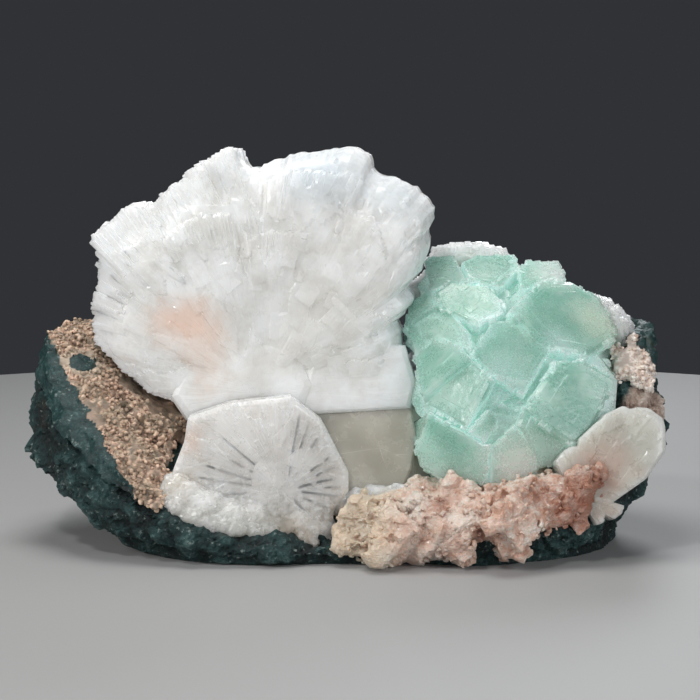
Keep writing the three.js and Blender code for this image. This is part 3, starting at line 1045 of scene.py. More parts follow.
class Mould:
    """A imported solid, read as a mould for the crystals of its mineral."""

    def __init__(self, node: str) -> None:
        """Reads a node.

        Args:
            node: The node's name.
        """
        self.node = node
        self.mesh = welded(frame["nodes"][node].data, node + "_mould")
        points = [Vector(p) for p in points_of(self.mesh)]
        self.mesh.calc_loop_triangles()
        self.triangles = [tuple(t.vertices) for t in self.mesh.loop_triangles]
        self.points = points
        self.tree = BVHTree.FromPolygons(points, self.triangles)

    def reach(self, start: Vector, direction: Vector) -> Optional[Vector]:
        """Where a ray from outside first meets the solid."""
        return self.tree.ray_cast(start, direction)[0]

    def scatter(self, count: int, chance: random.Random) -> list[tuple[Vector, Vector]]:
        """Points spread evenly over the surface.

        Args:
            count: How many.
            chance: The source of randomness.

        Returns:
            Each point with the outward normal there.
        """
        corners = np.array([[self.points[i] for i in t] for t in self.triangles])
        across = np.cross(corners[:, 1] - corners[:, 0], corners[:, 2] - corners[:, 0])
        areas = np.linalg.norm(across, axis=1)
        total = np.cumsum(areas)
        found = []
        for _ in range(count):
            i = int(np.searchsorted(total, chance.random() * total[-1]))
            a, b = chance.random(), chance.random()
            if a + b > 1:
                a, b = 1 - a, 1 - b
            p0, p1, p2 = (Vector(p) for p in corners[min(i, len(corners) - 1)])
            normal = (p1 - p0).cross(p2 - p0).normalized()
            found.append((p0 + (p1 - p0) * a + (p2 - p0) * b, normal))
        return found


class Surroundings:
    """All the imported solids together, to tell what is hidden."""

    def __init__(self) -> None:
        """Reads every node."""
        self.moulds = {name: Mould(name) for name in frame["nodes"]}

    def open_at(self, point: Vector, normal: Vector, clear: float, own: str) -> bool:
        """True if no other solid lies within a distance along the normal.

        Args:
            point: A point of a solid's surface.
            normal: Its normal.
            clear: The distance in millimetres.
            own: The solid's own name.

        Returns:
            Whether the point lies open.
        """
        return all(
            mould.tree.ray_cast(point + normal * 0.05, normal, clear)[0] is None
            for name, mould in self.moulds.items()
            if name != own
        )


def place_piece(
    mesh: bpy.types.Mesh,
    name: str,
    material: bpy.types.Material,
    nodes: Sequence[str],
) -> bpy.types.Object:
    """Puts a finished mesh on the specimen.

    Args:
        mesh: The mesh in metres, in the specimen's frame.
        name: The piece's name.
        material: Its material.
        nodes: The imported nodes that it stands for.

    Returns:
        The piece.
    """
    mesh.materials.clear()
    mesh.materials.append(material)
    piece = bpy.data.objects.new(name, mesh)
    bpy.context.scene.collection.objects.link(piece)
    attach(piece, BODY)
    if nodes:
        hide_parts(*nodes)
    log.info("%s: %d faces", name, len(mesh.polygons))
    return piece


# ---------------------------------------------------------------- stilbite


class Dial:
    """Numbers over a fan by heading and by share of its reach, read smoothly in between."""

    def __init__(self, values: np.ndarray) -> None:
        """Keeps a table.

        Args:
            values: A row for each heading all round and a column for each share from 0 to 1.
        """
        self.values = values

    def softened(self, around: int, outward: int) -> "Dial":
        """The table blurred a number of times each way, with one value at its middle.

        Args:
            around: Times along the headings.
            outward: Times along the shares.

        Returns:
            The blurred dial.
        """
        values = self.values
        for _ in range(around):
            values = (np.roll(values, 1, 0) + 2 * values + np.roll(values, -1, 0)) / 4
        for _ in range(outward):
            wide = np.pad(values, ((0, 0), (1, 1)), mode="edge")
            values = (wide[:, :-2] + 2 * values + wide[:, 2:]) / 4
        values = values.copy()
        values[:, 0] = values[:, 0].mean()
        return Dial(values)

    def at(self, angle: Any, share: Any) -> Any:
        """The number at headings in degrees and shares, as numbers or arrays.

        Args:
            angle: The headings.
            share: The shares of the reach.

        Returns:
            A number for each.
        """
        rows, columns = self.values.shape
        row = np.mod(angle, 360.0) / 360.0 * rows
        column = np.clip(share, 0.0, 1.0) * (columns - 1)
        i = np.floor(row).astype(int)
        j = np.minimum(np.floor(column).astype(int), columns - 2)
        down, right = row - i, column - j
        i, k, grid = i % rows, (i + 1) % rows, self.values
        near = grid[i, j] * (1 - right) + grid[i, j + 1] * right
        far = grid[k, j] * (1 - right) + grid[k, j + 1] * right
        return near * (1 - down) + far * down


@dataclass(frozen=True)
class Line:
    """A drawn line, across and up from a fan's root."""

    points: tuple[tuple[float, float], ...]

    def reach(self, across: float, up: float) -> Optional[float]:
        """How far the line lies from the root in a direction, if it crosses it.

        Args:
            across: The direction across.
            up: The direction up.

        Returns:
            The distance, or none.
        """
        found = None
        for (x1, z1), (x2, z2) in zip(self.points, self.points[1:]):
            turn = across * (z2 - z1) - up * (x2 - x1)
            if abs(turn) < 1e-9:
                continue
            reach = (x1 * (z2 - z1) - z1 * (x2 - x1)) / turn
            share = (x1 * up - z1 * across) / turn
            if reach > 0 and -1e-9 <= share <= 1 + 1e-9:
                found = max(found or 0.0, reach)
        return found


@dataclass(frozen=True)
class Ledge:
    """The edge of a layer that stands out on the front of a fan, on the root's side of a line."""

    line: Line
    height: float
    comb: float = 1.0


@dataclass(frozen=True)
class Rod:
    """A stray blade on the front of a fan, between two points across and up from the root."""

    start: tuple[float, float]
    end: tuple[float, float]
    half: float
    lift: float = 0.5


@dataclass(frozen=True)
class Face:
    """A crystal by its flat end: a point of it, its aim, its outline across and up, its length."""

    at: Triple
    aim: Triple
    outline: tuple[tuple[float, float], ...]
    long: float = 9.0
    steps: int = 3
    crowd: float = 70.0
    edge_crowd: float = 0.7

    def normal(self) -> Vector:
        """The way that the end faces."""
        return Vector(self.aim).normalized()

    def corners(self) -> list[Vector]:
        """The outline's corners in the end's plane.

        Returns:
            The corners, in order.
        """
        at, aim = Vector(self.at), self.normal()
        return [
            Vector((x, at.y - (aim.x * (x - at.x) + aim.z * (z - at.z)) / aim.y, z))
            for x, z in self.outline
        ]

    @staticmethod
    def small(place: Matrix, half: float, lift: float, long: float) -> Solid:
        """A small crystal with a flat end at a height above a place.

        Args:
            place: The place.
            half: Half its width.
            lift: The end's height above the place.
            long: Its length.

        Returns:
            The crystal.
        """
        return Solid([
            place @ Vector((x * half * k * 1.2, y * half * k, z))
            for x in (-1, 1) for y in (-1, 1)
            for z, k in ((lift, 0.8), (lift - 0.2, 1.0), (lift - long, 1.0))
        ])

    def solid(self) -> Solid:
        """The crystal, bevelled and a little narrower towards its foot.

        Returns:
            The crystal.
        """
        corners, aim = self.corners(), self.normal()
        middle = sum(corners, Vector()) / len(corners)
        layers = ((0.85, 0.0), (0.94, -0.6), (0.975, -2.0), (0.86, -self.long))
        return Solid([
            middle + (corner - middle) * wide + aim * out
            for wide, out in layers for corner in corners
        ])

    def terraces(self, chance: random.Random) -> list[Solid]:
        """Thin steps on the end and small crystals along its edges.

        Args:
            chance: The source of randomness.

        Returns:
            The steps and the small crystals.
        """
        corners, aim = self.corners(), self.normal()
        middle = sum(corners, Vector()) / len(corners)
        made = []
        for _ in range(self.steps):
            share = chance.uniform(0.35, 0.75)
            pull = chance.choice(corners)
            centre = middle.lerp(pull, chance.uniform(0.1, 0.9) * (0.86 - share))
            lift = chance.uniform(0.05, 0.2)
            made.append(Solid([
                centre + (corner - middle) * share * wide + aim * out
                for wide, out in ((0.97, lift), (1.0, lift - 0.12), (1.0, -1.0))
                for corner in corners
            ]))
        along = (corners[1] - corners[0]).normalized()
        turn = Matrix((along, aim.cross(along), aim)).transposed().to_4x4()
        for _ in range(round(self.crowd * max(0.0, aim.z - 0.35))):
            half = chance.uniform(0.4, 1.3)
            at = middle.lerp(chance.choice(corners), chance.uniform(0.0, 0.85))
            at = at.lerp(chance.choice(corners), chance.uniform(0.0, 0.3))
            place = Matrix.Translation(at + aim * chance.uniform(-0.1, 0.25)) @ turn
            place = turned(place, chance.gauss(0, 4), "Z")
            place = turned(place, chance.gauss(0, 2.5), "X")
            made.append(self.small(place, half, 0.0, 2.0))
        for first, last in zip(corners, corners[1:] + corners[:1]):
            edge = last - first
            inward = (middle - first.lerp(last, 0.5)).normalized()
            for _ in range(round(edge.length * self.edge_crowd)):
                half = chance.uniform(0.35, 1.0)
                at = first.lerp(last, chance.random()) + inward * half * chance.uniform(0.6, 2.0)
                turn = Matrix((edge.normalized(), aim.cross(edge.normalized()), aim)).transposed()
                place = Matrix.Translation(at) @ turn.to_4x4()
                place = turned(place, chance.gauss(0, 6), "Z")
                made.append(self.small(place, half, chance.uniform(-0.8, 0.1), 2.5))
        return made


@dataclass(frozen=True)
class Apron:
    """Lumps along a line through points: their spread, number, least and greatest radius."""

    line: tuple[Triple, ...]
    spread: float
    count: int
    radius: tuple[float, float] = (1.6, 2.8)

    def lumps(self, chance: random.Random) -> list[tuple[Triple, float]]:
        """Each lump's middle and radius.

        Args:
            chance: Where the lumps are drawn from.

        Returns:
            A middle and radius each.
        """
        found = []
        for k in range(self.count):
            along = (k + chance.random()) / self.count * (len(self.line) - 1)
            i = min(int(along), len(self.line) - 2)
            at = Vector(self.line[i]).lerp(Vector(self.line[i + 1]), along - i)
            at += Vector([chance.gauss(0, self.spread) for _ in range(3)])
            found.append((tuple(at), chance.uniform(*self.radius)))
        return found


@dataclass(frozen=True)
class Facets:
    """Slightly tilted patches of a face: length and width in mm, tilt in degrees and step in mm."""

    long: float = 9.0
    wide: float = 4.5
    tilt: float = 2.0
    step: float = 0.16


@dataclass
class StilbiteSheaf:
    """A fan of stilbite blades grown together: a body with layered faces and a toothed rim.

    The body follows its mould smoothly. Thin blades, rank behind rank, come out of it towards the
    rim. Layers end in ledges on its front, and small tablets lie in its faces.
    """

    name: str
    node: str
    slot: str
    root: Triple
    turn: float
    lean: float
    finish: StilbiteFinish
    outline: Line = Line(())
    planes: tuple[Triple, ...] = ()
    facets: Facets = Facets()
    ranks: int = 12
    blade: tuple[float, float] = (0.8, 1.8)
    inner_blade: tuple[float, float] = (1.8, 3.6)
    coarse: tuple[float, float] = (0.0, 0.0)
    plate: tuple[float, float] = (9.0, 30.0)
    start: tuple[float, float] = (0.5, 0.85)
    focus: tuple[float, float] = (0.0, 0.0)
    wander: float = 2.5
    proud: float = 0.1
    roll: float = 0.7
    tooth: float = 0.4
    bevel: float = 0.45
    ledges: tuple[Ledge, ...] = ()
    rods: tuple[Rod, ...] = ()
    aprons: tuple[Apron, ...] = ()
    slabs: tuple[Face, ...] = ()
    calm: tuple[float, float] = (0.0, 0.0)
    inside: float = 4.5
    sections: tuple[float, ...] = (0.0,)
    core: float = 0.965
    mass: int = 0
    mass_reach: float = 0.5
    chips: int = 60
    lumps: tuple[float, float, float] = (-99.0, 2.5, 0.5)
    grid: tuple[int, int] = (360, 72)
    seed: int = 1
    chance: random.Random = field(init=False)
    mould: Mould = field(init=False)
    place: Matrix = field(init=False)
    cores: np.ndarray = field(init=False)
    reaches: np.ndarray = field(init=False)
    front: Dial = field(init=False)
    back: Dial = field(init=False)

    def __post_init__(self) -> None:
        """Sets up the randomness and reads the mould."""
        self.chance = random.Random(self.seed)
        self.mould = Mould(self.node)
        place = turned(Matrix.Rotation(math.radians(self.turn), 4, "Z"), self.lean, "X")
        self.place = Matrix.Translation(Vector(self.root)) @ place
        calm = np.array([self.is_calm(angle) for angle in range(360)], dtype=float)
        soft = np.convolve(np.pad(calm, 3, mode="wrap"), np.ones(7) / 7, "valid")
        self.cores = self.core + (1 - self.core) * soft
        self.reaches = np.array([
            max(self.rim(angle, depth) or 4.0 for depth in self.sections) for angle in range(360)
        ])
        self.reaches += calm * [self.chance.uniform(-0.35, 0.35) for _ in range(360)]
        self.front = self.sampled(-1)
        self.back = self.sampled(1)

    @staticmethod
    def heading(angle: float) -> Vector:
        """The direction of a heading in the fan's frame."""
        return Vector((math.cos(math.radians(angle)), 0, math.sin(math.radians(angle))))

    def rim(self, angle: float, depth: float = 0.0) -> Optional[float]:
        """How far the fan reaches from the root at a heading and depth.

        Args:
            angle: The heading in degrees.
            depth: The depth, from the front.

        Returns:
            The reach in millimetres.
        """
        heading = self.heading(angle)
        start = self.place @ (heading * 150 + Vector((0, depth, 0)))
        hit = self.mould.reach(start, (self.place.to_3x3() @ -heading).normalized())
        if hit is None:
            return None
        reach = 150 - (hit - start).length
        drawn = self.outline.reach(heading.x, heading.z)
        return reach if drawn is None else min(reach + 1.0, max(drawn, reach - self.inside))

    def is_calm(self, angle: float) -> bool:
        """True at a heading where the rim is smooth, without separate blades."""
        return (angle - self.calm[0]) % 360 < self.calm[1] - self.calm[0]

    @staticmethod
    def round_about(angle: Any, values: np.ndarray) -> Any:
        """Numbers kept for each whole degree, read at headings, as numbers or arrays."""
        return np.interp(np.mod(angle, 360.0), np.arange(361), np.append(values, values[0]))

    def reach_at(self, angle: Any) -> Any:
        """How far the fan reaches at headings, as numbers or arrays."""
        return self.round_about(angle, self.reaches)

    def core_at(self, angle: Any) -> Any:
        """The body's share of the reach at headings, as numbers or arrays."""
        return self.round_about(angle, self.cores)

    def sampled(self, side: int) -> Dial:
        """Depth of the mould's front (side -1) or back (side 1), smoothed.

        Args:
            side: -1 for the front and 1 for the back.

        Returns:
            The depths.
        """
        turned = self.place.to_3x3()
        table = np.zeros((90, 18))
        for i in range(90):
            reach = float(self.reach_at(i * 4))
            depth = side * 2.0
            for j in range(18):
                point = self.heading(i * 4) * (reach * j / 17)
                start = self.place @ (point + Vector((0, 80 * side, 0)))
                hit = self.mould.reach(start, turned @ Vector((0, -side, 0)))
                if hit is not None:
                    depth = side * (80 - (hit - start).length)
                table[i, j] = depth
        return Dial(table).softened(10, 5)

    def depth(self, angle: Any, share: Any, through: float) -> Any:
        """Depth of a layer, from the front (through 0) to the back (through 1).

        Args:
            angle: The headings.
            share: The shares of the reach.
            through: 0 for the front, 1 for the back.

        Returns:
            The depths in millimetres.
        """
        back = self.back.at(angle, share)
        if self.planes:
            reach = self.reach_at(angle) * share
            x, z = reach * np.cos(np.radians(angle)), reach * np.sin(np.radians(angle))
            front = np.maximum.reduce([c + a * x + b * z for c, a, b in self.planes])
            front = np.minimum(front, back - 1.5)
        else:
            front = self.front.at(angle, share)
        return front + (back - front) * through

    def ledge_height(self, angle: Any, reach: Any) -> Any:
        """How far the layers stand out at headings and distances from the root.

        Args:
            angle: The headings.
            reach: The distances from the root.

        Returns:
            The heights in millimetres.
        """
        turned = np.atleast_1d(angle)
        far = np.atleast_1d(reach)
        out = np.zeros(np.broadcast(turned, far).shape)
        for ledge in self.ledges:
            edges = np.array([
                ledge.line.reach(math.cos(math.radians(a)), math.sin(math.radians(a))) or 0.0
                for a in range(360)
            ])
            inside = np.convolve(np.pad(edges > 0, 4, mode="wrap"), np.ones(9) / 9, "valid")
            edge = np.interp(np.mod(turned, 360), np.arange(360), edges)
            fade = np.interp(np.mod(turned, 360), np.arange(360), np.clip(inside * 2 - 1, 0, 1))
            ratio = far / np.maximum(edge, 1.0)
            rise = np.clip((ratio - 0.35) / 0.5, 0, 1)
            out = out + np.where(ratio < 1.0, ledge.height * fade * rise * rise, 0.0)
        return out

    def facet_height(self, angle: np.ndarray, reach: np.ndarray) -> np.ndarray:
        """How far the tilted patches of the front stand out.

        Args:
            angle: Headings in degrees.
            reach: Distances from the root.

        Returns:
            Heights in the same shape.
        """
        rnd, facets = self.chance, self.facets
        seeds = []
        radius = facets.long * 0.3
        while radius < float(self.reaches.max()) + facets.long:
            count = max(3, round(math.tau * radius / facets.wide))
            for k in range(count):
                turn = 360 * (k + rnd.uniform(-0.4, 0.4)) / count
                seeds.append((
                    turn, radius + rnd.uniform(-0.45, 0.45) * facets.long,
                    rnd.gauss(0, facets.step),
                    math.tan(math.radians(rnd.gauss(0, facets.tilt))),
                    math.tan(math.radians(rnd.gauss(0, facets.tilt))),
                ))
            radius += facets.long * 0.8
        table = np.array(seeds)
        best = np.full(angle.shape, np.inf)
        out = np.zeros(angle.shape)
        for turn, radius, step, lean, pitch in table:
            off = (np.mod(angle - turn + 180, 360) - 180) * (math.pi / 180) * reach
            along = reach - radius
            gap = (off / facets.wide) ** 2 + (along / facets.long) ** 2
            height = step + lean * off + pitch * along * 0.6
            nearer = gap < best
            best = np.where(nearer, gap, best)
            out = np.where(nearer, height, out)
        return out

    def body(self) -> bpy.types.Mesh:
        """The body: layered front, smooth back and a bevelled rim.

        Returns:
            The closed mesh.
        """
        turns, steps = self.grid
        angle, share = np.meshgrid(
            np.arange(turns) * 360 / turns, np.arange(steps + 1) / steps, indexing="ij"
        )
        reach = self.reach_at(angle) * self.core_at(angle) * share
        x, z = reach * np.cos(np.radians(angle)), reach * np.sin(np.radians(angle))
        front, back = self.depth(angle, share, 0.0), self.depth(angle, share, 1.0)
        edge = np.clip((share - 0.93) / 0.07, 0, 1) ** 1.6 * self.bevel
        calm = np.clip((1 - share) / 0.1, 0, 1)
        relief = (self.facet_height(angle, reach) + self.ledge_height(angle, reach)) * calm
        level, size, height = self.lumps
        for i, j in zip(*np.nonzero(z < level)):
            point = Vector((x[i, j], 0.0, z[i, j])) / size
            swell = 0.45 - noise.voronoi(point)[0][0] + 0.5 * noise.noise(point * 2.2)
            relief[i, j] += height * 2 * swell * min(1.0, (level - z[i, j]) / 3)
        front = front - relief
        half = (back - front) / 2
        front, back = front + half * edge, back - half * edge
        front[:, 0], back[:, 0] = front[:, 0].mean(), back[:, 0].mean()
        return self.closed(x, z, front, back)

    def closed(
        self, x: np.ndarray, z: np.ndarray, front: np.ndarray, back: np.ndarray
    ) -> bpy.types.Mesh:
        """A closed mesh from the depths of a front and a back over the same points.

        Args:
            x: How far across each point lies.
            z: How far up it lies.
            front: The front's depths.
            back: The back's depths.

        Returns:
            The mesh.
        """
        turns, columns = x.shape
        points: list[Vector] = []
        faces: list[tuple[int, ...]] = []
        rings = []
        for depth, stride in ((front, 1), (back, 3)):
            middle = len(points)
            points.append(Vector((0.0, depth[0, 0], 0.0)))
            picked = list(range(columns - 1, 0, -stride))[::-1]
            ring = []
            for j in picked:
                ring.append(len(points))
                points += [Vector((x[i, j], depth[i, j], z[i, j])) for i in range(turns)]
            flip = depth is back
            for i in range(turns):
                k = (i + 1) % turns
                tip = (middle, ring[0] + i, ring[0] + k)
                faces.append(tip[::-1] if flip else tip)
                for near, far in zip(ring, ring[1:]):
                    quad = (near + i, far + i, far + k, near + k)
                    faces.append(quad[::-1] if flip else quad)
            rings.append(ring[-1])
        for i in range(turns):
            k = (i + 1) % turns
            faces.append((rings[0] + i, rings[1] + i, rings[1] + k, rings[0] + k))
        mesh = bpy.data.meshes.new(self.name + "_body")
        mesh.from_pydata([(self.place @ point) * MM for point in points], [], faces)
        return mesh

    def lath(
        self, inner: Vector, outer: Vector, half: tuple[float, float], thick: float, roll: float
    ) -> Solid:
        """One blade.

        Args:
            inner: The middle of its inner end, in the fan's frame.
            outer: The middle of its outer end.
            half: Half its width at the inner and outer ends.
            thick: Its thickness.
            roll: Its turn about its own length, in degrees.

        Returns:
            The blade.
        """
        rnd = self.chance
        along = outer - inner
        long = along.length
        turn = along.to_track_quat("X", "Z").to_matrix().to_4x4()
        place = self.place @ Matrix.Translation(inner) @ turn
        place = place @ Matrix.Rotation(math.radians(roll), 4, "X")
        wide = half[1]
        bite = rnd.uniform(0.3, 1.0) * min(wide * 1.5, 1.3)
        slant = rnd.uniform(-0.9, 0.9) * min(wide, 0.8)
        point = rnd.uniform(-0.5, 0.5) * wide
        share = rnd.uniform(0.1, 0.6)
        corners = []
        for face in (-1, 1):
            for side in (-1, 1):
                corners.append(Vector((0, face * 0.4 * thick, side * half[0])))
                shoulder = long - bite + slant * side
                corners.append(Vector((shoulder, face * 0.5 * thick, side * wide)))
                corners.append(Vector((long, face * 0.36 * thick, side * wide * share + point)))
        return Solid([place @ corner for corner in corners])

    def rank(self, through: float, thick: float) -> list[Solid]:
        """The blades of one rank, all round.

        Args:
            through: Its place, from 0 at the front to 1 at the back.
            thick: The blades' thickness.

        Returns:
            The blades.
        """
        rnd = self.chance
        outer_rank = through < 0.16 or through > 0.84
        widths = self.blade if outer_rank else self.inner_blade
        taper = 1 - 0.015 * (1 - through) - 0.07 * max(0.0, through - 0.3)
        found = []
        angle = stop = 0.0
        while angle < 360:
            if angle >= stop:
                stop = angle + rnd.uniform(*self.plate)
                focus = Vector((rnd.gauss(0, self.wander), 0, rnd.gauss(0, self.wander)))
                focus += Vector((self.focus[0], 0, self.focus[1]))
                slip, roll = rnd.gauss(0, self.proud), rnd.gauss(0, self.roll)
                begin = rnd.uniform(*self.start) if outer_rank else 0.8
            step = rnd.uniform(*widths)
            if self.coarse[0] <= angle < self.coarse[1]:
                step *= 2.2
            reach = float(self.reach_at(angle + step / 2))
            depth = float(self.depth(angle, 0.97, through))
            at_depth = self.rim(angle, depth)
            beyond = 3.0 if through < 0.4 else 0.8
            reach = reach * taper if at_depth is None else min(reach * taper, at_depth + beyond)
            if reach > 4 and not self.is_calm(angle):
                tip = self.heading(angle) * (reach + rnd.uniform(-self.tooth, self.tooth))
                inner = focus.lerp(tip, min(0.93, begin + rnd.uniform(-0.05, 0.05)))
                lift = slip + rnd.gauss(0, 0.04) - thick * (0.5 - through)
                for end in (inner, tip):
                    turn = math.degrees(math.atan2(end.z, end.x))
                    share = end.length / float(self.reach_at(turn))
                    rise = lift * (1 if end is tip else 0.6)
                    end.y = float(self.depth(turn, share, through)) - rise
                half = max(0.3, 0.5 * math.radians(step) * tip.length * 1.3)
                halves = (max(0.25, half * begin * 0.8), half)
                found.append(self.lath(inner, tip, halves, thick, roll + rnd.gauss(0, 1.0)))
            angle += step
        return found

    def combs(self) -> list[Solid]:
        """The fine blades whose ends make the ledges.

        Returns:
            The blades.
        """
        rnd = self.chance
        found = []
        for ledge in self.ledges:
            angle = 0.0
            while angle < 360 and ledge.comb:
                step = rnd.uniform(*self.blade)
                heading = self.heading(angle)
                edge = ledge.line.reach(heading.x, heading.z)
                if edge:
                    tip = heading * (edge + rnd.uniform(-0.2, 0.5) * ledge.comb)
                    inner = heading * edge * rnd.uniform(0.8, 0.93)
                    for end in (inner, tip):
                        reach = min(end.length, edge * 0.99)
                        up = float(self.ledge_height(angle, reach)[0]) + rnd.gauss(0.08, 0.06)
                        share = end.length / float(self.reach_at(angle))
                        end.y = float(self.depth(angle, share, 0.0)) - up + 0.45
                    half = max(0.25, 0.5 * math.radians(step) * edge * 1.15)
                    found.append(self.lath(inner, tip, (half * 0.8, half), 0.9, rnd.gauss(0, 2.0)))
                angle += step
        return found

    def on_front(self, x: float, z: float, out: float = 0.0) -> Vector:
        """The point of the front at a place across and up, in the fan's frame.

        Args:
            x: How far across.
            z: How far up.
            out: How far out of the front.

        Returns:
            The point.
        """
        angle = math.degrees(math.atan2(z, x))
        reach = math.hypot(x, z)
        share = reach / float(self.core_at(angle) * self.reach_at(angle))
        up = float(self.ledge_height(angle, reach)[0]) + out
        return Vector((x, float(self.depth(angle, share, 0.0)) - up, z))

    def rod_solids(self) -> list[Solid]:
        """The stray blades on the front.

        Returns:
            The blades.
        """
        found = []
        for rod in self.rods:
            first, last = self.on_front(*rod.start, 0.1), self.on_front(*rod.end, 0.3)
            along = last - first
            turn = along.to_track_quat("X", "Z").to_matrix().to_4x4()
            place = self.place @ Matrix.Translation(first) @ turn
            corners = []
            for out, share in ((-0.5, 0.4), (0.6, 1.0), (along.length - 0.6, 0.9)):
                for side in (-1, 1):
                    for face in (-1, 1):
                        corner = Vector((out, face * rod.lift, side * rod.half * share))
                        corners.append(place @ corner)
            corners.append(place @ Vector((along.length + 0.5, 0, 0)))
            found.append(Solid(corners))
        return found

    def tablets(
        self, count: int, far: float, half: tuple[float, float], tilt: float
    ) -> list[Solid]:
        """Flat crystals that lie in the front, a little out of step with it.

        Args:
            count: How many.
            far: How far out they lie, as a share of the reach.
            half: The least and the greatest half width.
            tilt: How far out of step they are, in degrees.

        Returns:
            The crystals.
        """
        rnd = self.chance
        found = []
        for _ in range(count):
            angle = rnd.uniform(0, 360)
            reach = float(self.reach_at(angle)) * far * math.sqrt(rnd.uniform(0.02, 1))
            heading = self.heading(angle)
            x, z = heading.x * reach, heading.z * reach
            size = rnd.uniform(*half)
            point = self.on_front(x, z, 0.02 * size)
            side, top = self.on_front(x + 1, z) - point, self.on_front(x, z + 1) - point
            normal = side.cross(top).normalized()
            if normal.y > 0:
                normal = -normal
            frame_at = normal.to_track_quat("Z", "Y").to_matrix().to_4x4()
            out_way = (self.on_front(x * 1.05, z * 1.05) - point).normalized()
            axis = frame_at.to_3x3().transposed() @ out_way
            spin = math.atan2(-axis.x, axis.y) + math.radians(rnd.gauss(0, 9))
            frame_at = frame_at @ Matrix.Rotation(spin, 4, "Z")
            frame_at = turned(frame_at, rnd.gauss(0, tilt), "X")
            frame_at = turned(frame_at, rnd.gauss(0, tilt), "Y")
            place = self.place @ Matrix.Translation(point) @ frame_at
            long = size * rnd.uniform(1.0, 2.0)
            top_height = rnd.uniform(0.02, 0.1)
            corners = [
                place @ Vector((u * size * k, v * long * k, w))
                for u in (-1, 1)
                for v in (-1, 1)
                for w, k in ((-0.6 - 0.3 * size, 1.0), (top_height * 0.5, 1.0), (top_height, 0.9))
            ]
            corners.append(place @ Vector((0, long * 1.25, -0.1)))
            found.append(Solid(corners))
        return found

    def build(self) -> bpy.types.Object:
        """Builds and dresses the sheaf.

        Returns:
            The piece.
        """
        solids: list[Solid] = []
        middle = float(np.mean(self.back.at(np.arange(0, 180, 6), 0.9)))
        middle -= float(np.mean(self.front.at(np.arange(0, 180, 6), 0.9)))
        for k in range(self.ranks):
            solids += self.rank(k / (self.ranks - 1), middle / self.ranks * 1.25)
        solids += self.combs() + self.rod_solids()
        solids += self.tablets(self.mass, self.mass_reach, (0.8, 2.4), 1.0)
        solids += self.tablets(self.chips, 0.95, (0.25, 0.7), 7.0)
        log.info("%s: %d crystals", self.name, len(solids))
        solids += [slab.solid() for slab in self.slabs]
        meshes = [self.body()] + [solid.mesh(self.name) for solid in solids]
        lumps = [lump for apron in self.aprons for lump in apron.lumps(self.chance)]
        if lumps:
            meshes.append(melted(lumps, APRON_VOXEL, self.name))
        mesh = boolean(meshes, "UNION", self.name)
        local = points_of(mesh) - np.array(self.root)
        local = local @ np.array(self.place.to_3x3())
        turn = np.degrees(np.arctan2(local[:, 2], local[:, 0]))
        keep(mesh, "out", np.hypot(local[:, 0], local[:, 2]) / self.reach_at(turn))
        return place_piece(mesh, self.name, self.finish.material(), [self.node])


# ---------------------------------------------------------------- apophyllite


@dataclass(frozen=True)
class Block:
    """One apophyllite crystal: the middle of its flat end, half width, length, axis and spin."""

    tip: Triple
    half: float
    long: float
    aim: Triple
    spin: float
    cut: float
    sunk: float = 2.2

    def frame(self) -> Matrix:
        """The crystal's own frame, z along its long axis.

        Returns:
            The frame.
        """
        up = Vector((0, 0, 1))
        aim = Vector(self.aim).normalized()
        turn = up.rotation_difference(aim).to_matrix().to_4x4()
        spin = Matrix.Rotation(math.radians(self.spin), 4, "Z")
        return Matrix.Translation(Vector(self.tip) - aim * self.sunk) @ turn @ spin


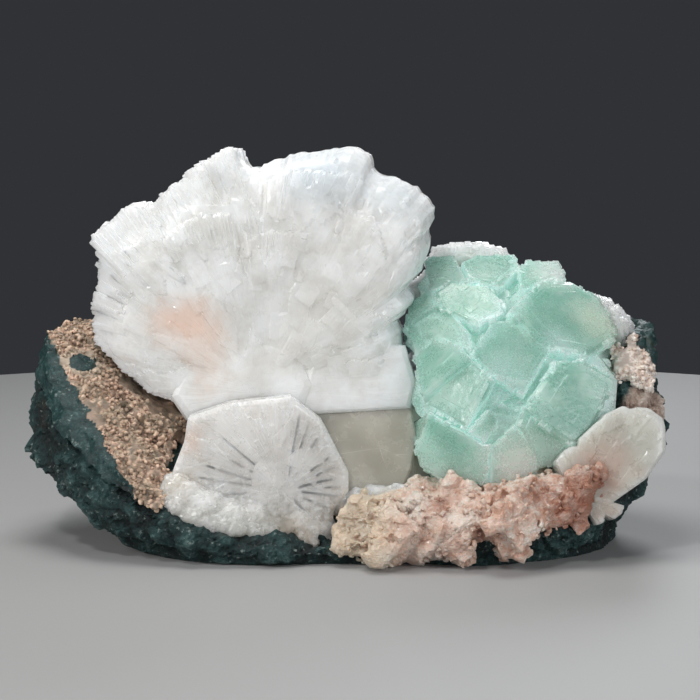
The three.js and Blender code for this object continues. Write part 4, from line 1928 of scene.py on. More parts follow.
@dataclass
class ApophylliteCluster:
    """Blocky green crystals grown into each other, each with smaller ones in step with it."""

    blocks: tuple[Block, ...]
    faces: tuple[Face, ...]
    finish: ApophylliteFinish
    pyramid: float = 60.4
    terraces: int = 3
    edge_crowd: float = 1.5
    face_crowd: float = 0.12
    longest: float = 1.6
    seed: int = 5
    node: str = "apophyllite_cluster"

    def corners(self, half: float, long: float, cut: float) -> list[Vector]:
        """Corners of a crystal whose flat end is at the origin.

        Args:
            half: Half its width.
            long: Its length.
            cut: How far its corners are cut.

        Returns:
            The corners.
        """
        slope = math.sin(math.radians(self.pyramid)) / math.sqrt(2)
        rise = math.cos(math.radians(self.pyramid))
        planes = [(Vector((0, 0, 1)), 0.0), (Vector((0, 0, -1)), long)]
        for x, y in ((1, 0), (-1, 0), (0, 1), (0, -1)):
            planes.append((Vector((x, y, 0)), half))
        for x in (1, -1):
            for y in (1, -1):
                planes.append((Vector((x * slope, y * slope, rise)), 2 * slope * half * (1 - cut)))
        return polyhedron(planes)

    def crystal(self, place: Matrix, half: float, long: float, cut: float) -> Solid:
        """One crystal in its place."""
        return Solid([place @ corner for corner in self.corners(half, long, cut)])

    def companions(self, block: Block, chance: random.Random) -> list[Solid]:
        """Small crystals in step with a large one, standing a little out of its faces.

        Args:
            block: The large crystal.
            chance: The source of randomness.

        Returns:
            The small crystals.
        """
        place = block.frame()
        slope = math.sin(math.radians(self.pyramid)) / math.sqrt(2)
        rise = math.cos(math.radians(self.pyramid))
        edge = 2 * block.half * (1 - block.cut)
        made = []

        def seat(x: float, y: float, lift: float, out_of_step: float) -> Matrix:
            """A place near a point of the flat end, lowered where the pyramid faces fall away."""
            drop = max(0.0, (abs(x) + abs(y) - edge) * slope / rise)
            turn = Matrix.Rotation(math.radians(chance.gauss(0, out_of_step * 2)), 4, "Z")
            tip = Matrix.Rotation(math.radians(chance.gauss(0, out_of_step)), 4, "X")
            return place @ Matrix.Translation((x, y, lift - drop)) @ turn @ tip

        for _ in range(self.terraces):
            half = block.half * chance.uniform(0.35, 0.8)
            slack = block.half - half
            x, y = (chance.uniform(-slack, slack) for _ in range(2))
            lift = chance.uniform(0.05, 0.22)
            made.append(self.crystal(seat(x, y, lift, 0.3), half, 4.0, block.cut))
        for _ in range(round(self.edge_crowd * block.half)):
            half = chance.uniform(0.5, 1.9) * min(1.0, block.half / 9)
            along, side = chance.uniform(-block.half, block.half), chance.choice((-1, 1))
            out = (block.half - half * chance.uniform(0.55, 1.05)) * side
            x, y = (along, out) if chance.random() < 0.5 else (out, along)
            made.append(
                self.crystal(seat(x, y, chance.uniform(-0.8, 0.25), 1.5), half, half * 4, 0.3)
            )
        upward = max(0.0, Vector(block.aim).normalized().z)
        crowd = self.face_crowd * (1 + 5 * upward * upward) * block.half * block.half
        for _ in range(round(crowd)):
            half = chance.uniform(0.4, 1.2)
            x, y = (chance.uniform(-block.half, block.half) for _ in range(2))
            lift = chance.uniform(-0.05, 0.2)
            made.append(self.crystal(seat(x, y, lift, 1.5), half, half * 3, 0.3))
        return made

    def build(self) -> bpy.types.Object:
        """Builds and dresses the cluster.

        Returns:
            The piece.
        """
        chance = random.Random(self.seed)
        solids = [
            self.crystal(block.frame(), block.half, block.long, block.cut) for block in self.blocks
        ]
        for block in self.blocks:
            solids += self.companions(block, chance)
        for face in self.faces:
            solids += [face.solid()] + face.terraces(chance)
        log.info("apophyllite: %d crystals", len(solids))
        meshes = [solid.mesh("crystal") for solid in solids]
        mesh = refined(boolean(meshes, "UNION", "apophyllite_crystals"), self.longest)
        self.mark_frost(mesh)
        keep(mesh, "valley", hollowness(mesh, 9.0, 5))
        return place_piece(
            mesh, "apophyllite_crystals", self.finish.material(), [self.node]
        )

    def mark_frost(self, mesh: bpy.types.Mesh) -> None:
        """Keeps on the mesh how frosted each face is: ends are, sides are glassy.

        Args:
            mesh: The crystals' mesh.
        """
        frames = [(Vector(b.tip), Vector(b.aim).normalized()) for b in self.blocks]
        frames += [(Vector(face.at), face.normal()) for face in self.faces]
        tips = np.array([tuple(t) for t, _ in frames])
        chance = random.Random(2)
        tones = [chance.random() ** 1.5 for _ in frames]
        values, shades = [], []
        for polygon in mesh.polygons:
            centre = np.array(polygon.center) / MM
            nearest = int(np.argmin(np.linalg.norm(tips - centre, axis=1)))
            values.append(max(0.0, min(1.0, polygon.normal.dot(frames[nearest][1]) * 1.6)))
            shades.append(tones[nearest])
        for name, numbers in (("frost", values), ("tone", shades)):
            made = mesh.attributes.new(name, "FLOAT", "FACE")
            made.data.foreach_set("value", numbers)


# ---------------------------------------------------------------- rock and crusts


@dataclass
class BasaltMatrix:
    """The dark green rock, lumpy and pitted, flat below."""

    finish: BasaltFinish
    voxel: float = 0.72
    foot: float = 1.5
    relief_range: float = 3.4
    node: str = "basalt_matrix"

    @staticmethod
    def relief(point: Vector) -> float:
        """How far the surface stands out at a point.

        Args:
            point: The point, in millimetres.

        Returns:
            The height.
        """
        lump = noise.noise(point / 9.0) * 1.4
        knob = 2.6 * (0.42 - noise.voronoi(point / 5.4)[0][0])
        return lump + knob + 0.45 * shards(point, 2.6) + noise.noise(point / 0.9) * 0.45

    def build(self) -> bpy.types.Object:
        """Builds and dresses the rock.

        Returns:
            The piece.
        """
        mesh = voxelled(Mould(self.node).mesh, self.voxel, "basalt_rock")
        points, normals = points_of(mesh), normals_of(mesh)
        out = np.array([self.relief(Vector(p)) for p in points])
        near_base = np.clip(points[:, 2] / self.foot, 0, 1)
        points = points + normals * (out * near_base)[:, None]
        points[:, 2] = np.maximum(points[:, 2], 0.0)
        moved(mesh, points)
        keep(mesh, "height", np.clip(0.5 + out / self.relief_range, 0, 1))
        return place_piece(mesh, "basalt_rock", self.finish.material(), [self.node])


@dataclass
class GrainyDruse:
    """A lumpy crust with grains on it, and bare rock past an edge."""

    name: str
    node: str
    finish: DruseFinish
    count: int = 3000
    size: tuple[float, float] = (0.32, 0.72)
    voxel: float = 0.8
    lump: float = 0.9
    knobs: tuple[float, float] = (3.4, 1.5)
    clear: float = 1.0
    hollow: float = 1.8
    seed: int = 3

    def bare(self, point: Vector) -> bool:
        """True where the crust has broken off.

        Args:
            point: The point, in millimetres.

        Returns:
            Whether it is bare.
        """
        if not self.finish.rock:
            return False
        origin, axis = self.finish.rock
        past = (point - Vector(origin)).dot(Vector(axis)) + 2.2 * noise.noise(point / 4.0)
        wave = noise.noise(point / 2.0)
        windows = self.finish.windows
        return past > 0 or any((point - Vector(c)).length + wave < r for c, r in windows)

    def build(self, around: Surroundings) -> bpy.types.Object:
        """Builds and dresses the druse.

        Args:
            around: The other solids.

        Returns:
            The piece.
        """
        chance = random.Random(self.seed)
        core = voxelled(Mould(self.node).mesh, self.voxel, self.name)
        points, normals = points_of(core), normals_of(core)
        out = []
        for place in map(Vector, points):
            if self.bare(place):
                out.append(BasaltMatrix.relief(place) * 0.7)
            else:
                swell, small = (0.45 - noise.voronoi(place / size)[0][0] for size in self.knobs)
                out.append(self.lump * (swell * 2 + small * 0.9))
        points = points + normals * np.array(out)[:, None]
        meshes, middles = [moved(core, points)], []
        for i in (chance.randrange(len(points)) for _ in range(self.count)):
            point, normal = Vector(points[i]), Vector(normals[i])
            crowd = 0.5 + noise.noise(point / 6.0)
            if self.bare(point) or chance.random() > crowd * 1.8 + 0.2:
                continue
            if around.open_at(point, normal, self.clear, self.node):
                radius = chance.uniform(*self.size) * (1 + 0.5 * max(0.0, crowd - 0.5))
                middles.append(point + normal * radius * chance.uniform(-0.2, 0.5))
                meshes.append(pebble(middles[-1], radius, chance))
        log.info("%s: %d grains", self.name, len(middles))
        mesh = boolean(meshes, "UNION", self.name)
        keep(mesh, "valley", hollowness(mesh, self.hollow))
        tree = KDTree(len(middles))
        for i, middle in enumerate(middles):
            tree.insert(middle, i)
        tree.balance()
        places = [Vector(p) for p in points_of(mesh)]
        keep(mesh, "grain", [float(tree.find(p)[2] < 1.05 * self.size[1]) for p in places])
        keep(mesh, "bare", [float(self.bare(p)) for p in places])
        mesh.shade_smooth()
        mesh.set_sharp_from_angle(angle=math.radians(SHARP_EDGE))
        return place_piece(mesh, self.name, self.finish.material(), [self.node])


@dataclass
class CrystalCrust:
    """A crust of angular crystals, a few large ones among many small."""

    name: str
    node: str
    slot: str
    finish: CrustFinish
    large: int = 110
    small: int = 600
    large_half: tuple[float, float] = (1.8, 3.8)
    small_half: tuple[float, float] = (0.35, 0.9)
    sunk: float = 0.55
    relief: tuple[tuple[float, float], ...] = ((0.38, 6.0), (0.2, 2.2), (0.22, 1.0))
    voxel: float = 0.6
    clear: float = 1.5
    hollow: float = 3.0
    seed: int = 9

    def tablet(self, at: Vector, normal: Vector, half: float, chance: random.Random) -> Solid:
        """One small crystal that stands out of the crust.

        Args:
            at: Its middle.
            normal: The crust's normal there.
            half: Half its width.
            chance: Where its shape is drawn from.

        Returns:
            The crystal.
        """
        b, c = half * chance.uniform(0.5, 0.9), half * chance.uniform(0.4, 0.85)
        turn = normal.to_track_quat("Z", "Y").to_matrix().to_4x4()
        tip = Matrix.Rotation(chance.uniform(0, 6.28), 4, "Z")
        tip = tip @ Matrix.Rotation(chance.gauss(0, 0.45), 4, "X")
        place = Matrix.Translation(at) @ turn @ tip
        corners = []
        for x in (-1, 1):
            for y in (-1, 1):
                for z, share in ((-1, 0.9), (0.0, 1.0), (0.7, 0.85), (1, 0.5)):
                    corners.append(place @ Vector((x * c * share, y * half * share, z * b)))
        return Solid(corners)

    def build(self, around: Surroundings) -> bpy.types.Object:
        """Builds and dresses the crust.

        Args:
            around: The other solids.

        Returns:
            The piece.
        """
        chance = random.Random(self.seed)
        mould = Mould(self.node)
        spots = [
            (point, normal)
            for point, normal in mould.scatter(self.large + self.small, chance)
            if around.open_at(point, normal, self.clear, self.node)
        ]
        large = round(len(spots) * self.large / (self.large + self.small))
        meshes = [mould.mesh.copy()]
        for point, normal in spots[:large]:
            half = chance.uniform(*self.large_half)
            block = self.tablet(point - normal * half * self.sunk, normal, half, chance)
            meshes.append(block.mesh("block"))
        core = voxelled(boolean(meshes, "UNION", self.name), self.voxel, self.name)
        points, normals = points_of(core), normals_of(core)
        out = [sum(high * shards(Vector(p), size) for high, size in self.relief) for p in points]
        meshes = [moved(core, points + normals * np.array(out)[:, None])]
        for point, normal in spots[large:]:
            half = chance.uniform(*self.small_half)
            meshes.append(self.tablet(point + normal * 0.2, normal, half, chance).mesh("tablet"))
        log.info("%s: %d tablets", self.name, len(meshes))
        mesh = boolean(meshes, "UNION", self.name)
        mesh.vertices.foreach_get("co", flat := np.empty(len(mesh.vertices) * 3))
        flat[2::3] = np.maximum(flat[2::3], 0.0)
        mesh.vertices.foreach_set("co", flat)
        keep(mesh, "valley", hollowness(mesh, self.hollow))
        return place_piece(mesh, self.name, self.finish.material(), [self.node])


@dataclass
class SmoothPlate:
    """The flat grey crystal between the sheaves, with its front drawn out under them."""

    finish: StilbiteFinish
    outline: tuple[tuple[float, float], ...] = (
        (-11.5, 36.0), (-1.2, 34.8), (5.3, 35.4), (15.0, 34.3), (16.5, 27.5), (15.0, 19.5),
        (11.5, 12.5), (-2.5, 12.0), (-6.0, 20.0), (-11.0, 31.0),
    )
    top: tuple[float, float] = (-10.6, 34.0)
    slope: float = 0.34
    aim: Triple = (0.0, -0.947, 0.322)
    layers: tuple[tuple[float, float], ...] = ((0.965, 0.35), (1.0, -0.2), (1.0, -6.0))
    node: str = "stilbite_plate"

    def build(self) -> bpy.types.Object:
        """Builds and dresses the plate.

        Returns:
            The plate.
        """
        depth, level = self.top
        corners = [Vector((x, depth - (level - z) * self.slope, z)) for x, z in self.outline]
        middle = sum(corners, Vector()) / len(corners)
        out = Vector(self.aim)
        front = Solid([
            middle + (corner - middle) * share + out * lift
            for share, lift in self.layers for corner in corners
        ])
        mesh = boolean([Mould(self.node).mesh, front.mesh("front")], "UNION", "grey_plate")
        keep(mesh, "out", [0.5] * len(mesh.vertices))
        return place_piece(mesh, "grey_plate", self.finish.material(), [self.node])


# ---------------------------------------------------------------- studio


@dataclass(frozen=True)
class Lamp:
    """One soft light: place, size, power in watts and colour."""

    name: str
    at: Triple
    size: float
    power: float
    colour: Colour = (1.0, 1.0, 1.0)


@dataclass
class Studio:
    """A pale table, soft lights and the camera."""

    target: Triple = (0.0, 0.0, 47.2)
    distance: float = 620.0
    elevation: float = 8.0
    lens: float = 127.5
    floor_radius: float = 300.0
    floor_gap: float = 0.1
    lit: Triple = (0.0, 0.0, 40.0)
    lamps: tuple[Lamp, ...] = (
        Lamp("top_soft", (-60, 20, 420), 220, 0.85, (1.0, 0.99, 0.97)),
        Lamp("left_soft", (-380, -260, 240), 200, 0.9, (1.0, 0.99, 0.97)),
        Lamp("right_soft", (340, -320, 180), 200, 0.65, (0.96, 0.98, 1.0)),
        Lamp("back_rim", (120, 330, 260), 160, 0.55, (0.94, 0.97, 1.0)),
        Lamp("sparkle", (-150, -330, 420), 60, 0.6, (1.0, 1.0, 1.0)),
        Lamp("front_soft", (20, -560, 130), 240, 0.35, (1.0, 1.0, 1.0)),
    )
    backdrop: Colour = (0.03, 0.032, 0.036)

    def build(self) -> None:
        """Sets up everything round the specimen."""
        self._floor()
        self._world()
        for lamp in self.lamps:
            self._lamp(lamp)
        self._camera()
        bpy.context.scene.view_settings.view_transform = "Standard"

    def _floor(self) -> None:
        """Makes the table top."""
        shell = bmesh.new()
        bmesh.ops.create_circle(shell, cap_ends=True, radius=self.floor_radius * MM, segments=96)
        mesh = released(shell, "table_top")
        mesh.materials.append(FloorFinish().material())
        floor = bpy.data.objects.new("table_top", mesh)
        floor.location.z = -self.floor_gap * MM
        bpy.context.scene.collection.objects.link(floor)

    def _world(self) -> None:
        """Sets the even light from all round."""
        world = bpy.data.worlds.new("room")
        world.use_nodes = True
        background = world.node_tree.nodes["Background"]
        background.inputs["Color"].default_value = (*self.backdrop, 1.0)
        background.inputs["Strength"].default_value = 1.0
        bpy.context.scene.world = world

    def _lamp(self, lamp: Lamp) -> None:
        """Makes one soft light, aimed at the specimen.

        Args:
            lamp: The light's place, size and strength.
        """
        data = bpy.data.lights.new(lamp.name, "AREA")
        data.shape = "DISK"
        data.size = lamp.size * MM
        data.energy = lamp.power
        data.color = lamp.colour
        made = bpy.data.objects.new(lamp.name, data)
        made.location = Vector(lamp.at) * MM
        aim = (Vector(self.lit) * MM - made.location).to_track_quat("-Z", "Y")
        made.rotation_euler = aim.to_euler()
        bpy.context.scene.collection.objects.link(made)

    def _camera(self) -> None:
        """Makes the camera."""
        data = bpy.data.cameras.new("view")
        data.lens = self.lens
        data.sensor_width = 36.0
        data.clip_start = 0.01
        data.clip_end = 20.0
        camera = bpy.data.objects.new("view", data)
        tilt = math.radians(self.elevation)
        back = Vector((0, -math.cos(tilt), math.sin(tilt)))
        camera.location = (Vector(self.target) + back * self.distance) * MM
        camera.rotation_euler = (-back).to_track_quat("-Z", "Y").to_euler()
        bpy.context.scene.collection.objects.link(camera)
        bpy.context.scene.camera = camera


# ---------------------------------------------------------------- the specimen

MAIN_ROOT = (-22.2, 3.0, 38.0)
FRONT_ROOT = (-20.0, -24.0, 24.4)

MAIN_FINISH = StilbiteFinish(
    name="stilbite_white",
    root=MAIN_ROOT,
    milk=(0.86, 0.87, 0.865),
    shade=(0.71, 0.70, 0.675),
    # The two peach patches on the left are the crystal's own tint; the warm grey patch in the middle
    # and the three blue grey patches at the top are painted shade; the two near white patches on the
    # far left lobes are painted light.
    tints_and_painted_light=(
        ((-8.0, -11.0, 58.0), 20.0, (0.73, 0.71, 0.66), 0.5),
        ((-41.0, -11.0, 55.0), 13.0, (0.88, 0.62, 0.49), 0.7),
        ((-34.0, -11.0, 45.0), 10.0, (0.87, 0.66, 0.54), 0.5),
        ((-8.0, -7.0, 95.0), 17.0, (0.60, 0.68, 0.74), 0.75),
        ((12.0, -7.0, 90.0), 14.0, (0.64, 0.71, 0.75), 0.65),
        ((-31.0, -7.0, 92.0), 8.0, (0.70, 0.76, 0.80), 0.5),
        ((-62.0, -8.0, 76.0), 9.0, (0.96, 0.92, 0.92), 0.6),
        ((-61.0, -6.0, 52.0), 16.0, (0.97, 0.96, 0.94), 0.9),
    ),
)
FRONT_FINISH = StilbiteFinish(
    name="stilbite_clear",
    root=(-15.7, -26.0, 16.8),
    milk=(0.90, 0.89, 0.87),
    shade=(0.74, 0.72, 0.69),
    rim_glow_band=(0.97, 1.0),
    painted_rim_glow=0.3,
    painted_glint_streaks=0.75,
    glint_streak_band=(0.02, 0.3),
    # Spots of painted glints.
    sparkle=(
        ((-33.5, -26.0, 17.5), 4.0),
        ((-28.0, -26.0, 37.5), 4.0),
        ((-6.5, -25.0, 29.0), 3.5),
        ((-15.0, -27.0, 36.0), 2.5),
    ),
    clear=0.15,
    groove=0.08,
    tints_and_painted_light=(
        ((-40.0, -26.0, 29.0), 6.0, (0.85, 0.62, 0.50), 0.55),
        ((-43.0, -29.0, 16.0), 12.0, (0.54, 0.48, 0.38), 0.9),
        ((-36.0, -32.0, 11.0), 12.0, (0.46, 0.45, 0.40), 1.0),
        ((-29.0, -33.0, 8.0), 13.0, (0.44, 0.44, 0.40), 1.0),
        ((-21.0, -32.0, 6.0), 13.0, (0.46, 0.45, 0.40), 1.0),
        ((-13.0, -30.0, 4.0), 12.0, (0.50, 0.43, 0.35), 1.0),
        ((8.0, -22.0, 12.0), 7.0, (0.80, 0.62, 0.38), 0.8),
    ),
)
BACK_FINISH = StilbiteFinish(
    name="stilbite_back",
    root=(29.5, 22.0, 47.5),
    milk=(0.92, 0.93, 0.90),
    shade=(0.78, 0.80, 0.76),
)
RIGHT_FINISH = StilbiteFinish(
    name="stilbite_right",
    root=(57.0, 10.0, 40.5),
    milk=(0.90, 0.88, 0.84),
    shade=(0.74, 0.72, 0.67),
)
TAN_FINISH = StilbiteFinish(
    name="stilbite_tan",
    root=(54.1, -26.0, 14.7),
    milk=(0.66, 0.65, 0.58),
    shade=(0.52, 0.50, 0.44),
    painted_rim_glow=0.25,
    painted_glint_streaks=0.15,
    clear=0.15,
    groove=0.06,
    tints_and_painted_light=(
        ((60.0, -30.0, 21.0), 13.0, (0.66, 0.45, 0.36), 0.85),
        ((58.0, -30.0, 18.0), 7.0, (0.36, 0.15, 0.09), 0.7),
        ((72.0, -28.0, 31.0), 6.0, (0.62, 0.66, 0.58), 0.5),
    ),
)
PLATE_FINISH = StilbiteFinish(
    name="stilbite_grey",
    root=(4.5, -8.0, 23.4),
    milk=(0.60, 0.57, 0.50),
    shade=(0.49, 0.465, 0.40),
    painted_rim_glow=0.0,
    painted_glint_streaks=0.0,
    cracks=0.8,
    clear=0.1,
    groove=0.01,
    roughness=(0.15, 0.3),
)

BLOCKS = (
    Block((41, -8, 47), 17, 34, (0.05, -0.6, 0.75), 20, 0.3),
    Block((22.7, 8, 66), 6.5, 16, (-0.3, -0.4, 0.85), 8, 0.4),
    Block((35.5, 8, 66.5), 8.3, 20, (0.08, -0.45, 0.88), 42, 0.45),
    Block((48.5, 9, 66.5), 6, 16, (0.25, -0.3, 0.9), 12, 0.5),
    Block((29.8, -2, 60), 9.4, 20, (-0.1, -0.68, 0.74), 40, 0.3),
    Block((20.5, -4, 54.5), 8.6, 20, (-0.5, -0.72, 0.5), 18, 0.34),
    Block((50.4, -4, 58), 11.8, 24, (0.16, -0.62, 0.78), 14, 0.36),
    Block((61.2, -1, 51.5), 8.4, 20, (0.6, -0.55, 0.58), 34, 0.4),
    Block((40.3, -14, 49.4), 9.6, 18, (0.02, -0.84, 0.54), 30, 0.32),
    Block((25, -10, 48.5), 8, 18, (-0.4, -0.78, 0.5), 4, 0.3),
    Block((25.3, -18, 39.2), 10.2, 20, (-0.28, -0.9, 0.34), 22, 0.28),
    Block((55, -18, 39.2), 11.2, 22, (0.26, -0.9, 0.36), 4, 0.26),
    Block((37.4, -15, 38.4), 6, 14, (0.2, -0.86, 0.4), 38, 0.3),
    Block((23.8, -24.5, 27.2), 9.6, 18, (-0.28, -0.95, 0.02), 20, 0.5),
    Block((38.6, -25.5, 28.4), 8.8, 16, (0.04, -0.98, 0.1), 38, 0.5),
    Block((52, -23, 30.5), 9, 18, (0.32, -0.93, 0.06), 12, 0.44),
)

FACES = (
    Face((39.4, -16.5, 50.2), (0.0, -0.84, 0.55),
         ((29.6, 48.7), (34.5, 56.8), (44.0, 56.8), (44.9, 52.5), (49.4, 49.6), (42.2, 40.0),
          (34.6, 43.3))),
    Face((25.3, -20.0, 41.1), (-0.29, -0.81, 0.5),
         ((18.2, 39.7), (20.0, 43.4), (25.6, 48.9), (29.4, 48.4), (34.5, 43.4), (31.9, 40.9),
          (28.1, 31.6), (18.2, 36.1))),
    Face((54.4, -21.6, 39.0), (0.29, -0.87, 0.4),
         ((42.0, 37.6), (49.7, 47.2), (56.9, 47.6), (64.9, 43.3), (62.9, 38.1), (58.2, 30.6),
          (53.6, 27.3), (45.6, 32.9))),
    Face((53.9, -6.6, 57.3), (0.33, -0.64, 0.69),
         ((38.9, 59.1), (48.0, 65.4), (55.8, 64.8), (63.0, 60.6), (66.6, 54.4), (66.2, 51.0),
          (58.3, 47.6), (49.3, 49.6), (44.8, 52.7))),
    Face((30.0, -3.8, 61.5), (-0.04, -0.65, 0.76),
         ((20.4, 62.3), (24.4, 64.8), (34.6, 63.9), (38.3, 60.5), (38.4, 57.9), (34.6, 56.5),
          (31.8, 54.6), (27.5, 56.9), (22.0, 58.8))),
    Face((20.4, -6.2, 54.2), (-0.48, -0.75, 0.45),
         ((13.2, 54.7), (19.4, 59.3), (24.2, 59.2), (28.9, 53.4), (29.5, 48.8), (20.7, 51.6),
          (15.3, 46.5))),
    Face((20.8, -13.1, 47.4), (-0.5, -0.56, 0.66),
         ((15.3, 46.7), (20.7, 51.6), (25.2, 51.2), (29.1, 48.2), (20.0, 43.4), (17.2, 37.9)), 7.0),
    Face((23.5, -26.0, 25.5), (-0.28, -0.96, 0.06),
         ((15.0, 26.6), (18.8, 35.0), (28.3, 30.7), (32.8, 27.5), (33.3, 22.2), (32.2, 18.2),
          (23.6, 18.2), (16.7, 21.7))),
    Face((39.2, -26.7, 24.6), (0.03, -1.0, 0.05),
         ((32.9, 26.7), (39.9, 32.7), (45.5, 27.1), (46.0, 21.7), (37.9, 15.7), (33.0, 17.9))),
    Face((47.2, -25.7, 29.4), (0.17, -0.98, 0.1),
         ((42.0, 37.5), (45.7, 36.2), (54.3, 26.8), (50.7, 22.5), (46.0, 21.7), (45.5, 27.0),
          (39.9, 32.8)), 7.0),
    Face((23.3, 6.5, 66.9), (-0.28, -0.43, 0.86),
         ((18.8, 68.1), (20.9, 69.9), (25.8, 70.0), (29.3, 65.0), (24.4, 63.8), (19.9, 62.4)), 7.0),
    Face((35.6, 7.6, 68.1), (0.1, -0.4, 0.91),
         ((28.0, 69.0), (31.7, 70.2), (41.7, 70.0), (43.1, 67.0), (37.3, 63.9), (29.8, 64.9)), 7.0),
    Face((47.4, 6.2, 67.3), (0.19, -0.43, 0.88),
         ((42.6, 67.4), (44.9, 68.9), (53.3, 68.8), (54.7, 65.2), (48.2, 64.9), (43.0, 62.9)), 7.0),
    Face((32.5, -26.2, 31.8), (0.17, -0.97, 0.14),
         ((28.3, 31.1), (33.4, 36.4), (35.6, 33.0), (32.5, 27.7)), 5.0),
    Face((16.9, 0.5, 59.1), (-0.56, -0.51, 0.65),
         ((12.9, 52.7), (15.0, 59.4), (20.0, 62.2), (22.3, 59.0), (18.7, 58.8)), 6.0),
)

# Outlines of the two large fans, across and up from their roots.
MAIN_OUTLINE = Line((
    (36.0, 24.0), (41.7, 33.3), (42.9, 39.3), (43.1, 46.3), (37.1, 51.0), (27.7, 53.5),
    (27.7, 57.7), (24.4, 60.2), (7.3, 57.7), (-2.7, 54.2), (-5.1, 59.0), (-8.8, 60.2),
    (-19.8, 53.5), (-27.4, 45.5), (-32.9, 46.3), (-42.9, 38.0), (-39.6, 29.5), (-41.4, 24.5),
    (-42.5, 17.6), (-41.1, 10.8), (-34.6, 4.5), (-18.1, -7.8),
))
FRONT_OUTLINE = Line((
    (5.5, -21.5), (15.6, -18.4), (16.0, -12.7), (19.6, -8.4), (19.6, -3.6), (13.2, 8.9),
    (5.7, 14.8), (-8.9, 13.2), (-19.1, 9.8), (-20.0, 4.0), (-23.0, -3.6), (-24.6, -8.4),
    (-16.0, -13.9), (-6.5, -16.7), (5.5, -21.5),
))
MAIN_LEDGES = (
    Ledge(Line(((-23.9, 36.0), (-20.7, 39.5), (-14.9, 42.7), (-7.6, 43.2), (-5.1, 38.5))), 1.0),
    Ledge(Line(((-5.6, 28.6), (-2.7, 36.5), (3.2, 39.0), (13.4, 38.5))), 0.7),
    Ledge(Line(((-25.6, 10.4), (-20.3, 8.4), (-16.8, 4.0), (-14.2, 0.1))), -0.9, 0.0),
    Ledge(Line(((-36.5, 33.0), (-29.0, 36.5), (-25.5, 44.5))), 0.7, 0.7),
    Ledge(Line(((22.4, 42.7), (28.5, 42.7), (30.3, 37.8), (32.2, 28.6))), 0.6, 0.7),
    Ledge(Line(((1.0, 51.5), (9.0, 54.0), (24.0, 53.0))), 0.5, 0.7),
)
FRONT_RODS = tuple(
    Rod(
        (4.3 + math.cos(math.radians(turn)) * near, -7.6 + math.sin(math.radians(turn)) * near),
        (4.3 + math.cos(math.radians(turn)) * far, -7.6 + math.sin(math.radians(turn)) * far),
        half, 0.12,
    )
    for turn, near, far, half in (
        (-24, 5.0, 12.5, 0.25), (-8, 4.0, 13.0, 0.3), (2, 6.0, 13.5, 0.22), (12, 3.0, 12.0, 0.35),
        (24, 5.0, 13.5, 0.25), (36, 4.0, 13.0, 0.3), (47, 6.5, 14.0, 0.22), (58, 4.0, 15.0, 0.35),
        (70, 7.0, 17.0, 0.25), (79, 4.0, 18.5, 0.3), (-48, 3.5, 8.0, 0.3), (151, 6.0, 15.0, 0.25),
        (163, 5.0, 20.0, 0.3), (172, 8.0, 21.0, 0.22), (184, 5.0, 17.0, 0.3),
        (140, 9.0, 20.0, 0.25),
    )
)
TAN_OUTLINE = Line((
    (-3.0, 11.0), (0.1, 13.3), (7.4, 19.6), (11.7, 21.5), (18.3, 20.8), (22.1, 17.8),
    (21.9, 10.5), (16.6, 3.7), (7.9, -1.8),
))

FRONT_APRONS = (
    Apron((
        (-42.0, -26.0, 17.0), (-36.0, -28.0, 12.0), (-29.0, -28.5, 9.5), (-22.0, -27.0, 8.5),
        (-14.0, -25.5, 7.0), (-8.0, -25.0, 7.0),
    ), 0.6, 40, (3.6, 5.6)),
    Apron((
        (-44.0, -30.5, 15.5), (-38.0, -32.5, 11.5), (-31.0, -33.5, 9.3), (-23.0, -31.8, 8.0),
        (-15.0, -29.5, 5.5), (-8.0, -29.0, 4.8),
    ), 0.5, 34, (1.6, 2.4)),
    Apron(((-3.0, -21.0, 12.0), (6.0, -19.0, 13.0), (14.0, -20.0, 14.5)), 0.6, 20, (2.2, 3.4)),
)


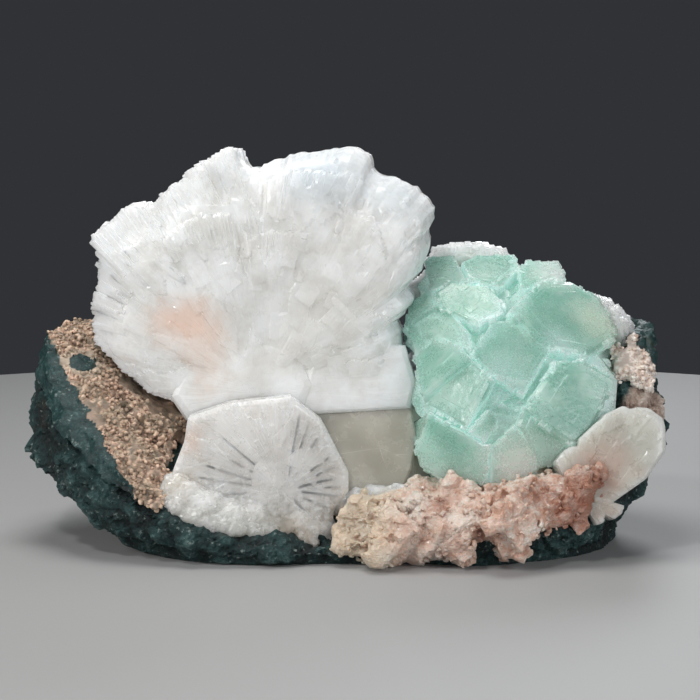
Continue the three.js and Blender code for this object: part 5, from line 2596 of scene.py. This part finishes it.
def sheaves() -> list[StilbiteSheaf]:
    """The stilbite fans.

    Returns:
        The fans, largest first.
    """
    return [
        StilbiteSheaf(
            "white_sheaf", "stilbite_sheaf_main", "stilbite_white", MAIN_ROOT, -3, -3,
            MAIN_FINISH,
            ranks=13,
            coarse=(200, 360),
            outline=MAIN_OUTLINE,
            focus=(8.0, -6.0),
            wander=5.0,
            mass=70,
            mass_reach=0.75,
            chips=420,
            calm=(-25, 96),
            ledges=MAIN_LEDGES,
            rods=(
                Rod((19.5, 39.0), (25.6, 52.1), 0.75),
                Rod((18.8, 22.5), (27.8, 13.4), 0.9),
                Rod((-25.1, 31.6), (-17.8, 26.2), 0.6),
            ),
            slabs=(
                Face((-27.0, -12.0, 35.0), (-0.06, -1.0, 0.3),
                     ((-45.0, 37.0), (-41.0, 31.5), (-12.0, 32.0), (-8.5, 40.0), (-13.0, 50.0),
                      (-28.0, 51.0), (-41.0, 46.0)), 8.0),
                Face((4.0, -11.7, 35.0), (0.02, -1.0, 0.27),
                     ((-14.0, 32.5), (2.0, 34.4), (9.0, 35.2), (15.5, 34.0), (17.0, 40.0),
                      (14.0, 50.0), (1.0, 48.0), (-10.0, 51.0)), 8.0),
            ),
            grid=(400, 84),
            seed=11,
        ),
        StilbiteSheaf(
            "front_sheaf", "stilbite_sheaf_front", "stilbite_clear", FRONT_ROOT, 2, -6,
            FRONT_FINISH,
            planes=((-5.6, 0.24, -0.02), (-4.6, -0.2, 0.0)),
            facets=Facets(12.0, 4.0, 0.9, 0.1),
            ranks=0,
            outline=FRONT_OUTLINE,
            inside=9.0,
            sections=(-2.0, 0.0, 3.0, 6.0),
            rods=FRONT_RODS,
            core=1.0,
            bevel=0.08,
            chips=70,
            lumps=(-8.0, 2.4, 0.55),
            aprons=FRONT_APRONS,
            grid=(300, 60),
            seed=23,
        ),
        StilbiteSheaf(
            "back_sheaf", "stilbite_sheaf_back", "stilbite_white", (29.5, 22, 47.5), 10, 4,
            BACK_FINISH,
            ranks=7,
            blade=(1.6, 3.2),
            inner_blade=(3.0, 6.0),
            grid=(200, 40),
            seed=31,
        ),
        StilbiteSheaf(
            "right_sheaf", "stilbite_sheaf_right", "stilbite_white", (57, 10, 40.5), -20, 4,
            RIGHT_FINISH,
            ranks=6,
            blade=(1.8, 3.6),
            inner_blade=(3.0, 6.0),
            grid=(200, 30),
            seed=37,
        ),
        StilbiteSheaf(
            "tan_sheaf", "stilbite_sheaf_tan", "stilbite_tan", (54.1, -26, 14.7), 8, -16,
            TAN_FINISH,
            outline=TAN_OUTLINE,
            planes=((-6.6, 0.0, 0.02),),
            facets=Facets(12.0, 5.0, 0.8, 0.1),
            ranks=0,
            inside=7.0,
            sections=(-2.0, 0.0, 3.0, 6.0),
            core=1.0,
            bevel=0.1,
            chips=60,
            grid=(240, 40),
            seed=41,
        ),
    ]


def main() -> None:
    """Builds the specimen and its surroundings."""
    noise.seed_set(NOISE_SEED)
    logging.basicConfig(level=logging.INFO, format="%(name)s %(message)s")
    Studio().build()
    around = Surroundings()
    crusts = (((74.0, -10.0, 33.0), 7.0), ((68.0, -14.0, 26.0), 4.0))
    BasaltMatrix(BasaltFinish(crusts=crusts)).build()
    for sheaf in sheaves():
        sheaf.build()
    ApophylliteCluster(BLOCKS, FACES, ApophylliteFinish()).build()
    SmoothPlate(PLATE_FINISH).build()
    GrainyDruse(
        "brown_druse", "druse_left",
        DruseFinish(
            "brown_druse", (0.022, 0.013, 0.01), (0.36, 0.22, 0.15), (0.90, 0.66, 0.50),
            (0.34, 0.29, 0.21),
            rock=((-76.0, 0.5, 50.9), (-0.872, -0.17, -0.46)),
            windows=(((-66.4, -4.0, 44.7), 3.4),),
        ),
        count=7000,
    ).build(around)
    GrainyDruse(
        "rosy_druse", "druse_right",
        DruseFinish(
            "rosy_druse", (0.26, 0.16, 0.12), (0.82, 0.64, 0.54), (0.95, 0.89, 0.83),
            (0.80, 0.73, 0.66),
            rock=((70.5, 0.8, 52.6), (0.867, -0.034, 0.497)),
        ),
        count=2200,
    ).build(around)
    CrystalCrust("pink_crust", "stilbite_crust_pink", "stilbite_pink", CrustFinish()).build(around)


if __name__ == "__main__":
    main()
